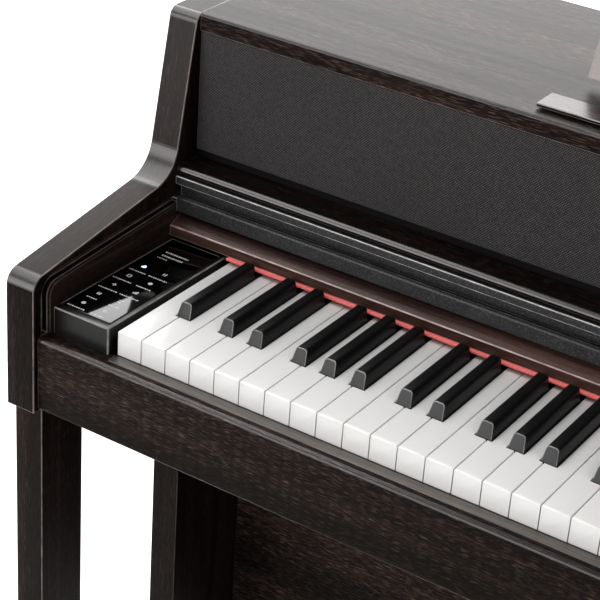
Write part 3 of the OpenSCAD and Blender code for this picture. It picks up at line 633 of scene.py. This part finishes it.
ivory_acrylic = polished("white_key_acrylic", "#dbdad9", "#d9d8d6", 0.27)
joint_of = {j["child"]: j for j in frame["joints"]}
PLAIN_KEY_NOTCH = 49 * MM
for letter in "cdefgab":
    node = letter + "_keys"
    low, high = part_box(node)
    rod_y = joint_of[node]["pos_m"][1]
    stacks = []
    for co in shells(node):
        x0, x1 = co[:, 0].min(), co[:, 0].max()
        tail = co[co[:, 1] > high.y - MM]
        tail0, tail1, body = tail[:, 0].min(), tail[:, 0].max(), tail[:, 2].min()
        steps = co[(co[:, 1] > low.y + 10 * MM) & (co[:, 1] < rod_y - 20 * MM), 1]
        notch = steps.min() if len(steps) else low.y + PLAIN_KEY_NOTCH
        stacks.append(white_key(x0, x1, tail0, tail1, low.y, high.y, notch, low.z, body,
                                high.z, rod_y))
    place(node + "_moulded", ring_mesh(node + "_moulded", stacks), ivory_acrylic, node,
          [node])
    print(node, "solids:", len(stacks))

# %% [markdown]
# ## Black keys
# A black key is a tapered cap on a stem. Its section, with two round top
# corners, is carried from front to back. The front leans back by twenty
# degrees, and a small rounded rim joins it to the top and the sides. The
# rim's faces carry the value of a painted highlight.
# %% Black keys
CROWN_R = 2.6 * MM
RIM_R = 0.6 * MM
LEAN = math.radians(20)


def black_cap(centre_x, foot, crown, y0, y1, height, base):
    """Rings from front to back: a tapered section whose two top corners are round.

    A corner's centre keeps its distance r from the sloping side and the top. The
    front leans, y = y0 + z tan(lean), and its rim is rounded: the section
    shrinks by e = rim (1 - sin u) while it stands back by rim (1 - cos u).
    """
    slope = math.atan2(foot - crown, height)
    corner_z = height - CROWN_R
    corner_x = foot - (foot - crown) * corner_z / height - CROWN_R / math.cos(slope)
    arc = np.linspace(slope, math.pi / 2, 6)
    rings = []
    for u in np.append(np.linspace(0, math.pi / 2, 5), -1):
        shrink = RIM_R * (1 - math.sin(u)) if u >= 0 else 0
        r = CROWN_R - shrink
        half = np.r_[foot - shrink / math.cos(slope), corner_x + r * np.cos(arc)]
        z = np.r_[0, corner_z + r * np.sin(arc)]
        x, z = np.r_[half, -half[::-1]], np.r_[z, z[::-1]]
        y = y0 + z * math.tan(LEAN) + RIM_R * (1 - math.cos(u)) if u >= 0 else y1 + 0 * z
        rings.append(np.stack([centre_x + x, y, base + z], axis=-1))
    return np.array(rings)


# %% [markdown]
# Under each cap a stem reaches down to the pivot rod and sits on it with a
# half-round saddle. It is a side view carried across the key. Cap and stem of
# the keys of one letter are one mesh, in satin black plastic.
# %% Stems and moulding
def prism(x0, x1, outline):
    """An outline in y and z, carried from x0 to x1."""
    outline = np.asarray(outline, float)
    ends = np.array([x0, x1])[:, None]
    x = np.repeat(ends, len(outline), axis=1)
    y, z = (np.broadcast_to(outline[:, i], x.shape) for i in (0, 1))
    return np.stack([x, y, z], axis=-1)


def stem_outline(y0, y1, bottom, top, rod_y, radius):
    """A stem's side view, with a half-round saddle over the pivot rod."""
    a = np.linspace(math.pi, 0, 9)
    saddle = np.stack([rod_y + radius * np.cos(a), bottom + radius * np.sin(a)], axis=-1)
    return np.concatenate([[(y0, top), (y0, bottom)], saddle, [(y1, bottom), (y1, top)]])


# The pale edge colour is the painted highlight on each cap's rim.
satin_abs = speckled("black_key_satin_abs", "#0b0a0a", "#1d1b1b", 1.2, 0.3, 0.5, 0.01,
                     "#a5a09f", 0.7, Specular_IOR_Level=0.2)
white_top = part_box("c_keys")[1].z
for letter in "cdfga":
    node = letter + "_sharp_keys"
    low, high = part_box(node)
    pivot = Vector(joint_of[node]["pos_m"])
    stacks = []
    for co in shells(node):
        x0, x1 = co[:, 0].min(), co[:, 0].max()
        top = co[co[:, 2] > high.z - 0.1 * MM]
        stacks.append(black_cap((x0 + x1) / 2, (x1 - x0) / 2, np.ptp(top[:, 0]) / 2,
                                low.y, top[:, 1].max(), high.z - white_top, white_top))
        stacks.append(prism(x0 + 0.1 * MM, x1 - 0.1 * MM, stem_outline(
            low.y + 0.1 * MM, high.y, low.z, white_top - 0.1 * MM, pivot.y, SADDLE_R)))
    start = low.y - white_top * math.tan(LEAN)
    # The rim faces of each cap are marked for the painted highlight.
    caps = mark_edge_highlight(ring_mesh(node + "_moulded", stacks), lambda centre, normal: (
        (centre[:, 1] - start - centre[:, 2] * math.tan(LEAN) < 0.55 * MM)
        & (normal[:, 1] > -0.92) & (centre[:, 2] > white_top + 0.5 * MM)))
    place(node + "_moulded", caps, satin_abs, node, [node])
    print(node, "solids:", len(stacks) // 2)

# %% [markdown]
# ## Red felt
# A strip of red felt fills the gap behind the keys. Pressed wool scatters light
# at its fringe, so it has sheen and a soft, fibrous colour. Its fibres are a
# few hundredths of a millimetre thick and are drawn a millimetre apart, so
# that they show.
# %% Red felt
FIBRES_PER_M = 900
wool, tree, shader, place_on = new_finish("red_pressed_wool", Roughness=0.9,
                                          Sheen_Weight=0.5, Specular_IOR_Level=0.2)
fibres = add(tree, "TexNoise", {"Vector": place_on, "Scale": FIBRES_PER_M,
                                "Detail": 4.0})
tint = ramp(tree, fibres.outputs["Fac"], [(0.3, "#ee4a45"), (0.7, "#ff8c88")])
tree.links.new(tint, shader.inputs["Base Color"])
bump = add(tree, "Bump", {"Height": fibres.outputs["Fac"], "Strength": 0.8,
                          "Distance": 0.2 * MM})
tree.links.new(bump.outputs["Normal"], shader.inputs["Normal"])
eased("red_felt", 0.5, wool)
low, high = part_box("red_felt")
print("felt, mm:", [round(v / MM, 1) for v in high - low])

# %% [markdown]
# ## Touch panel
# The left end block is a soft-edged moulding. Its top holds a sheet of glass
# that is painted black from behind, so it mirrors the room like a still pool.
# %% End block and glass
low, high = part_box("control_case")
glass_low, glass_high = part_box("touch_panel")


BLOCK_EDGE, BLOCK_CORNER, POCKET_LIP = 1.5 * MM, 2.0 * MM, 0.3 * MM


def rim_rings(low, high, pocket_low, pocket_high):
    """Rings up a block's wall, over its rounded top edge and down into a pocket.

    The edge is a quarter turn: in by edge (1 - cos t), up by edge sin t.
    """
    turn = np.linspace(0, math.pi / 2, 7)
    centre, half = (low + high) / 2, (high - low) / 2
    inset = np.r_[0, BLOCK_EDGE * (1 - np.cos(turn))]
    outer = rounded_rings((np.full(8, centre.x), np.full(8, centre.y)), half.x - inset,
                          half.y - inset, np.maximum(BLOCK_CORNER - inset, 0.4 * MM),
                          np.r_[low.z, high.z - BLOCK_EDGE + BLOCK_EDGE * np.sin(turn)], 6)
    middle, room = (pocket_low + pocket_high) / 2, (pocket_high - pocket_low) / 2
    lip = np.array([POCKET_LIP, 0, 0])
    inner = rounded_rings((np.full(3, middle.x), np.full(3, middle.y)), room.x + lip,
                          room.y + lip, np.full(3, 1.6 * MM),
                          np.array([high.z, high.z - POCKET_LIP, pocket_low.z]), 6)
    return np.concatenate([outer, inner])


seam = Vector((0.2 * MM, 0.2 * MM, 0))
block = rim_rings(low, high, glass_low - seam, glass_high + seam)
# The block's rounded top edge is marked for a painted highlight.
block = mark_edge_highlight(ring_mesh("control_case_moulded", [block]),
                  lambda centre, normal: tilt_share(np.abs(normal).max(axis=1)))
place("control_case_moulded", block, charcoal_plastic, "cabinet",
      ["control_case"], 50)

centre, half = (glass_low + glass_high) / 2, (glass_high - glass_low) / 2
turn = np.linspace(0, math.pi / 2, 4)
PANE_EDGE = 0.35 * MM
inset = PANE_EDGE * (1 - np.cos(turn))
pane = rounded_rings((np.full(5, centre.x), np.full(5, centre.y)), half.x - np.r_[0, inset],
                     half.y - np.r_[0, inset], np.full(5, 1.4 * MM),
                     np.r_[glass_low.z, glass_high.z - PANE_EDGE * (1 - np.sin(turn))], 6)
black_glass = polished("black_backed_glass", "#060505", "#020202", 0.06,
                       Specular_IOR_Level=0.3)
place("touch_panel_glass", ring_mesh("touch_panel_glass", [pane]), black_glass, "cabinet",
      ["touch_panel"], 40)
print("glass, mm:", [round(v / MM, 1) for v in glass_high - glass_low])

# %% [markdown]
# The print on the glass is ten touch keys in two staggered columns, each with a
# label in front of it, and a small display behind them. Real labels are
# lettering; here each one is a row of plain dashes. Every mark is a thin closed
# tile, a few hundredths of a millimetre proud of the glass.
# %% Print on the glass
PRINT_T = 0.06 * MM


def tile(x, y, half_x, half_y, radius, steps=2):
    """A printed tile, in mm from the glass's front left corner: two equal rings."""
    ring = rounded_rings((np.zeros(2), np.zeros(2)), half_x * MM, half_y * MM,
                         np.full(2, radius * MM), np.array([0, PRINT_T]), steps)
    return ring + np.array([glass_low.x + x * MM, glass_low.y + y * MM, glass_high.z])


DASH_PITCH = 2.2


def dashes(x, y, half_x, half_y=0.75):
    """A row of evenly spaced dashes, centred on x, that fills a label's width."""
    places = np.arange(-half_x + DASH_PITCH / 2, half_x, DASH_PITCH)
    return [tile(x + d, y, 0.7 + 0.2 * math.sin(7 * d), half_y, 0.3) for d in places]


def icon(x, y, kind):
    """One of five plain marks: dot, pause bars, plus, square corners or a step."""
    parts = {0: [(0, 0, 2.0, 2.0, 1.9)],
             1: [(-1.1, 0, 0.6, 1.9, 0.3), (1.1, 0, 0.6, 1.9, 0.3)],
             2: [(0, 0, 2.1, 0.5, 0.2), (0, 1.3, 0.5, 0.8, 0.2), (0, -1.3, 0.5, 0.8, 0.2)],
             3: [(0, 1.8, 2.0, 0.4, 0.2), (0, -1.8, 2.0, 0.4, 0.2),
                 (-1.6, 0, 0.4, 1.4, 0.2), (1.6, 0, 0.4, 1.4, 0.2)],
             4: [(-1.3, -0.9, 0.7, 0.9, 0.3), (0.2, -0.3, 0.6, 1.5, 0.3),
                 (1.6, 0.2, 0.6, 2.0, 0.3)]}[kind]
    return [tile(x + dx, y + dy, hx, hy, r, 6) for dx, dy, hx, hy, r in parts]


COLUMNS = {12.4: (9.0, 5.5, 9.5, 10.0, 8.5), 34.3: (7.0, 5.0, 9.5, 7.8, 10.0)}
ROW_PITCH, FIRST_LABEL, ICON_BEHIND = 19.8, 2.9, 9.5
icons, labels = [], []
for column, (x, widths) in enumerate(COLUMNS.items()):
    for row, width in enumerate(widths):
        y = FIRST_LABEL + row * ROW_PITCH
        labels += dashes(x, y, width)
        if (column, row) != (0, 4):
            icons += icon(x, y + ICON_BEHIND, (row + 2 * column) % 5)
for x, y, width in ((22.5, 125.0, 12.5), (21.5, 118.6, 11.0), (14.0, 113.4, 5.0)):
    labels += dashes(x, y, width, 1.1 if width > 6 else 0.6)
screen_ink = speckled("pale_screen_ink", "#b4b4b2", "#d0d0ce", 0.8, 0.5, 0.5, 0.005)
label_ink = speckled("grey_screen_ink", "#b9b9b7", "#dadad8", 0.8, 0.5, 0.5, 0.005)
place("panel_icons", ring_mesh("panel_icons", icons), screen_ink, "cabinet")
place("panel_labels", ring_mesh("panel_labels", labels), label_ink, "cabinet")
SPOTS_PER_M = 800
glow, tree, shader, place_on = new_finish("lit_touch_key", Roughness=0.4,
                                          Emission_Strength=1.2)
shader.inputs["Emission Color"].default_value = linear("#a9b9ff")
spots = add(tree, "TexNoise", {"Vector": place_on, "Scale": SPOTS_PER_M})
tint = ramp(tree, spots.outputs["Fac"], [(0.3, "#dfe8ff"), (0.7, "#ffffff")])
tree.links.new(tint, shader.inputs["Base Color"])
lit_x, lit_y = 12.2, FIRST_LABEL + 4 * ROW_PITCH + ICON_BEHIND
place("lit_icon", ring_mesh("lit_icon", [tile(lit_x, lit_y, 2.3, 1.5, 1.4, 6),
                                         tile(lit_x + 0.3, lit_y + 1.4, 1.2, 1.6, 1.1, 6)]),
      glow, "cabinet")
print("printed tiles:", len(icons) + len(labels) + 2)

# %% [markdown]
# ## Speaker cloth
# Grille cloth is a twill: each thread passes over two and under one, a step
# further along on each row, which draws fine diagonal ribs. It is stretched
# over a frame and folded round its edges. The surface is a grid, and distance
# along the cloth is bent round each edge by a quarter turn.
# %% Speaker cloth
low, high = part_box("speaker_cloth")
FOLD_R = 1.2 * MM
CLOTH_T = 0.6 * MM
TURN_IN = 1.0 * MM


def fold(s, half):
    """Distance along a cloth to place and depth: flat, a quarter turn, straight back."""
    flat = half - FOLD_R
    beyond = np.abs(s) - flat
    angle = np.clip(beyond / FOLD_R, 0, math.pi / 2)
    side = np.minimum(np.abs(s), flat) + FOLD_R * np.sin(angle)
    depth = FOLD_R * (1 - np.cos(angle)) + np.maximum(beyond - FOLD_R * math.pi / 2, 0)
    return np.sign(s) * side, depth


def cloth_lines(half, flat_steps):
    """Distances from the middle: even over the flat, close together in the fold."""
    bend = half - FOLD_R + np.linspace(0, FOLD_R * math.pi / 2, 6)
    edge = np.append(bend, bend[-1] + TURN_IN)
    flat = np.linspace(-(half - FOLD_R), half - FOLD_R, flat_steps)
    return np.concatenate([-edge[::-1], flat[1:-1], edge])


half_x, half_z = (high.x - low.x) / 2, (high.z - low.z) / 2
s, t = np.meshgrid(cloth_lines(half_x, 60), cloth_lines(half_z, 8), indexing="ij")
x, depth_x = fold(s, half_x)
z, depth_z = fold(t, half_z)
y = low.y + CLOTH_T + np.maximum(depth_x, depth_z)
points = np.stack([(low.x + high.x) / 2 + x, y, (low.z + high.z) / 2 + z], axis=-1)
rows, columns = points.shape[:2]
i, j = np.meshgrid(np.arange(rows - 1), np.arange(columns - 1), indexing="ij")
quads = np.stack([i * columns + j, (i + 1) * columns + j, (i + 1) * columns + j + 1,
                  i * columns + j + 1], axis=-1).reshape(-1, 4)
mesh = bpy.data.meshes.new("speaker_cloth_stretched")
mesh.from_pydata(points.reshape(-1, 3).tolist(), [], quads.tolist())

# %% [markdown]
# The yarn is a dull charcoal polyester. Two waves at a slant cross to make the
# weave, and noise frays it. Real ribs are under a millimetre apart: they are
# drawn 2.3 mm apart, so that they show.
# %% Twill weave
LINT_PER_M, UNEVEN_PER_M = 420, 9
twill, tree, shader, place_on = new_finish("charcoal_twill_cloth", Sheen_Weight=0.15,
                                           Specular_IOR_Level=0.25, Roughness=0.85)
RIB_MM, THREAD_MM = 2.3, 1.7
parts = add(tree, "SeparateXYZ", {"Vector": place_on})


def wave(first, sign, second, pitch_mm):
    """0 to 1 and back, once each pitch along x plus or minus z."""
    turned = add(tree, "Math", {0: second, 1: float(sign), 2: first},
                 operation="MULTIPLY_ADD")
    phase = add(tree, "Math", {0: turned.outputs[0], 1: 2000 * math.pi / pitch_mm},
                operation="MULTIPLY")
    sine = add(tree, "Math", {0: phase.outputs[0]}, operation="SINE")
    return add(tree, "MapRange", {"Value": sine.outputs[0], "From Min": -1.0}).outputs[0]


ribs = wave(parts.outputs["X"], -1, parts.outputs["Z"], RIB_MM)
threads = wave(parts.outputs["X"], 0.6, parts.outputs["Z"], THREAD_MM)
weave = add(tree, "Math", {0: ribs, 1: threads}, operation="MULTIPLY")
lint = add(tree, "TexNoise", {"Vector": place_on, "Scale": LINT_PER_M, "Detail": 4.0,
                              "Roughness": 0.8})
broad = add(tree, "TexNoise", {"Vector": place_on, "Scale": UNEVEN_PER_M, "Detail": 3.0})
uneven = add(tree, "MapRange", {"Value": broad.outputs["Fac"], "To Min": 0.42,
                                "To Max": 0.58})
weave = add(tree, "Math", {0: weave.outputs[0], 1: lint.outputs["Fac"]},
            operation="MULTIPLY")
weave = add(tree, "Math", {0: weave.outputs[0], 1: uneven.outputs[0]},
            operation="MULTIPLY")
tint = ramp(tree, weave.outputs[0], [(0.02, "#070606"), (0.09, "#131111"),
                                     (0.26, "#676161")])
tree.links.new(tint, shader.inputs["Base Color"])
bump = add(tree, "Bump", {"Height": weave.outputs[0], "Strength": 0.6,
                          "Distance": 0.25 * MM})
tree.links.new(bump.outputs["Normal"], shader.inputs["Normal"])
cloth = place("speaker_cloth_stretched", mesh, twill, "cabinet",
              ["speaker_cloth"], 60)
skin = cloth.modifiers.new("cloth thickness", "SOLIDIFY")
skin.thickness = CLOTH_T
skin.offset = 1.0

# %% [markdown]
# ## Speakers
# Behind the cloth sit two paper cones in pressed baskets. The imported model
# already has them turned about their own centres, so they only get the dull
# black of pulp. The circuit board gets its green mask and the key bed its film.
# %% Speakers and circuit board
paper = speckled("black_pulp_cone", "#121110", "#2b2927", 2.0, 0.7, 0.5, 0.08)
dress(["left_speaker", "right_speaker"], paper)
board_finish = speckled("green_solder_mask", "#0e3b27", "#2d6b48", 3.0, 0.35, 0.6, 0.03)
dress(["main_board"], board_finish)
dress(["key_bed"], rosewood_long)

# %% [markdown]
# ## Volume knob
# A turned knob is a circle carried up its axis. The radius ripples on the
# side, which gives the fingers a grip, and dips to a shallow dish on top.
# %% Volume knob
low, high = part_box("volume_knob")
centre = (low + high) / 2
pivot = joint_of["volume_knob"]["pos_m"]
skirt = white_top + 2.5 * MM
around_angle = np.linspace(0, 2 * math.pi, 96, endpoint=False)


FLUTES = 24


def turned(profile, ripple=0.0):
    """A profile of radius, height and ripple share, turned about the knob's axis."""
    r, z, share = (np.array(c)[:, None] for c in zip(*profile))
    radius = r - ripple * share * (0.5 - 0.5 * np.cos(FLUTES * around_angle))
    return np.stack([centre.x + radius * np.cos(around_angle),
                     centre.y + radius * np.sin(around_angle),
                     np.broadcast_to(z, radius.shape)], axis=-1)


R, Z0, Z1 = high.x - centre.x, skirt, high.z
knob = turned([(R - 0.6 * MM, Z0, 0), (R, Z0 + 0.6 * MM, 0), (R, Z0 + 2 * MM, 0),
               (R - 0.3 * MM, Z0 + 2.6 * MM, 1), (R - 0.9 * MM, Z1 - 1.6 * MM, 1),
               (R - 1.3 * MM, Z1 - 0.7 * MM, 0.5), (R - 2.2 * MM, Z1 - 0.1 * MM, 0),
               (R - 3.2 * MM, Z1, 0), (R - 4.2 * MM, Z1 - 0.5 * MM, 0),
               (0.4 * MM, Z1 - 1.0 * MM, 0)], 0.5 * MM)
shaft = turned([(3 * MM, low.z, 0), (3 * MM, Z0 + 0.5 * MM, 0)])
washer = turned([(5 * MM, low.z, 0), (5 * MM, low.z + 3 * MM, 0)])
place("volume_knob_turned", ring_mesh("volume_knob_turned", [knob, shaft, washer]),
      charcoal_plastic, "volume_knob", ["volume_knob"], 40)
print("knob, mm across:", round(2 * R / MM, 1))

# %% [markdown]
# ## Pedals
# A piano pedal is a brass casting: a narrow shank that spreads to a rounded,
# crowned toe. It is a flattened oval carried from the tail to the toe, and the
# oval's half width follows the pedal seen from above.
# %% Pedals
SHANK_SHARE = 0.62
NECK, STRAIGHT_TAIL, ROD_R = 22 * MM, 60 * MM, 3 * MM


def pedal_rings(centre_x, low, high):
    """Flattened ovals along the pedal, from the toe to the tail.

    The width eases from the toe's to the shank's, and the toe closes as a half
    circle, w = sqrt(r^2 - d^2).
    """
    toe = (high.x - low.x) / 2
    shank = SHANK_SHARE * toe
    tip = low.y + toe
    neck = tip + NECK
    far = high.y
    y = np.concatenate([tip - toe * np.sin(np.linspace(math.pi / 2, 0, 12)),
                        np.linspace(tip, neck, 8)[1:], np.linspace(neck, far, 14)[1:]])
    d = np.clip(tip - y, 0, toe)
    ease = np.clip((y - tip) / (far - STRAIGHT_TAIL - tip), 0, 1)
    ease = ease * ease * (3 - 2 * ease)
    width = np.where(y < tip, np.sqrt(np.maximum(toe ** 2 - d ** 2, 1e-9)),
                     toe + (shank - toe) * ease)
    angle = np.linspace(0, 2 * math.pi, 28, endpoint=False)
    power = 0.55
    px = np.sign(np.cos(angle)) * np.abs(np.cos(angle)) ** power
    pz = np.sign(np.sin(angle)) * np.abs(np.sin(angle)) ** power
    thick = (high.z - low.z) / 2
    mid = (high.z + low.z) / 2
    end = np.clip(width / toe, 0.25, 1) ** 0.5
    x = centre_x + width[:, None] * px
    z = mid + thick * pz * np.where(y < tip, end, 1)[:, None]
    return np.stack([x, np.broadcast_to(y[:, None], x.shape), z], axis=-1)


for node in ["left_pedal", "middle_pedal", "right_pedal"]:
    low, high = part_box(node)
    pin = joint_of[node]["pos_m"]
    middle_x = (low.x + high.x) / 2
    co = np.array([v.co for v in frame["nodes"][node].data.vertices])
    plate = co[co[:, 1] < pin[1] - 30 * MM]
    lo = Vector((plate[:, 0].min(), low.y, plate[:, 2].min()))
    hi = Vector((plate[:, 0].max(), high.y, plate[:, 2].max()))
    a = np.linspace(0, 2 * math.pi, 20, endpoint=False)
    reach = co[np.abs(co[:, 1] - pin[1]) < ROD_R + MM, 0]
    rod = np.stack([np.stack([np.full_like(a, x), pin[1] + ROD_R * np.cos(a),
                              pin[2] + ROD_R * np.sin(a)], axis=-1)
                    for x in (reach.min(), reach.max())])
    cast = ring_mesh(node + "_cast", [pedal_rings(middle_x, lo, hi), rod])
    place(node + "_cast", cast, pedal_brass, node, [node], 45)
    print(node, "mm long:", round((hi.y - lo.y) / MM, 1))
eased("pedal_jack", 1.0, black_rubber)

# %% [markdown]
# ## Floor
# The piano stands on a pale, nearly white studio floor. It is one large square
# at the height of the glides, and it is stage dressing, not part of the piano.
# %% Floor
def plane(name, half_size, height):
    """A flat square at a height, as one face."""
    h = half_size
    mesh = bpy.data.meshes.new(name)
    mesh.from_pydata([(-h, -h, height), (h, -h, height), (h, h, height), (-h, h, height)],
                     [], [(0, 1, 2, 3)])
    return mesh


DUST_PER_M = 2
pale, tree, shader, place_on = new_finish("pale_studio_floor", Roughness=0.8,
                                          Specular_IOR_Level=0.2)
dust = add(tree, "TexNoise", {"Vector": place_on, "Scale": DUST_PER_M, "Detail": 4.0})
tint = ramp(tree, dust.outputs["Fac"], [(0.3, "#f4f4f3"), (0.7, "#f7f7f6")])
tree.links.new(tint, shader.inputs["Base Color"])
floor = bpy.data.objects.new("studio_floor", plane("studio_floor", 30.0, cad_box[0].z))
floor.data.materials.append(pale)
bpy.context.scene.collection.objects.link(floor)


# %% [markdown]
# ## Light
# A plain studio with an even fill from all around and seven soft panels. What a
# dark lacquer shows is mostly reflections, so the two jobs of a light are split:
# some panels are seen only in reflections and draw the sheen on the lid, the
# cover and the rounded edges, and others only light the surfaces and are never
# mirrored. The panels behind and high in front do both.
# %% Light
def soft_panel(name, place_at, look_at, width, height, radiance, gloss=True, glow=True):
    """An area light whose power gives a chosen brightness: P = radiance * pi * area.

    Without gloss it is not seen in reflections; without glow it is seen only there.
    """
    data = bpy.data.lights.new(name, "AREA")
    data.shape = "RECTANGLE"
    data.size, data.size_y = width, height
    data.energy = radiance * math.pi * width * height
    lamp = bpy.data.objects.new(name, data)
    lamp.matrix_world = Matrix.Translation(place_at) @ (
        Vector(look_at) - Vector(place_at)).to_track_quat("-Z", "Y").to_matrix().to_4x4()
    lamp.visible_camera = False
    lamp.visible_diffuse = glow
    lamp.visible_glossy = gloss
    bpy.context.scene.collection.objects.link(lamp)


FILL_STRENGTH = 0.42
world = bpy.data.worlds.new("studio")
world.use_nodes = True
sky = world.node_tree.nodes["Background"]
sky.inputs["Color"].default_value = linear("#ffffff")
sky.inputs["Strength"].default_value = FILL_STRENGTH
bpy.context.scene.world = world
soft_panel("back_panel_light", Vector((-1.9, 2.6, 2.5)), (-0.4, 0.0, 0.8), 3.8, 2.6, 8.0)
soft_panel("overhead_light", Vector((-1.25, 0.25, 3.1)), (0.0, 0.0, 0.8), 2.6, 0.9, 5.0,
           gloss=False)
soft_panel("overhead_gloss_light", Vector((-1.7, -0.15, 2.8)), (-0.4, -0.1, 0.8), 3.0, 1.0,
           5.0, glow=False)
soft_panel("player_side_light", Vector((-1.4, -2.7, 1.35)), (-0.1, -0.1, 0.9), 2.4, 1.8,
           6.0, glow=False)
soft_panel("front_fill_light", Vector((-0.9, -2.6, 0.8)), (-0.3, -0.2, 0.7), 1.8, 1.2, 4.8,
           gloss=False)
soft_panel("treble_fill_light", Vector((1.9, -0.9, 2.3)), (-0.5, 0.0, 0.8), 1.4, 1.4, 3.0,
           gloss=False)
soft_panel("upper_front_light", Vector((-1.7, -1.6, 2.7)), (-0.3, 0.0, 0.8), 1.4, 1.2, 1.0)
lamps = [o for o in bpy.context.scene.objects if o.type == "LIGHT"]
print("soft panels:", len(lamps))
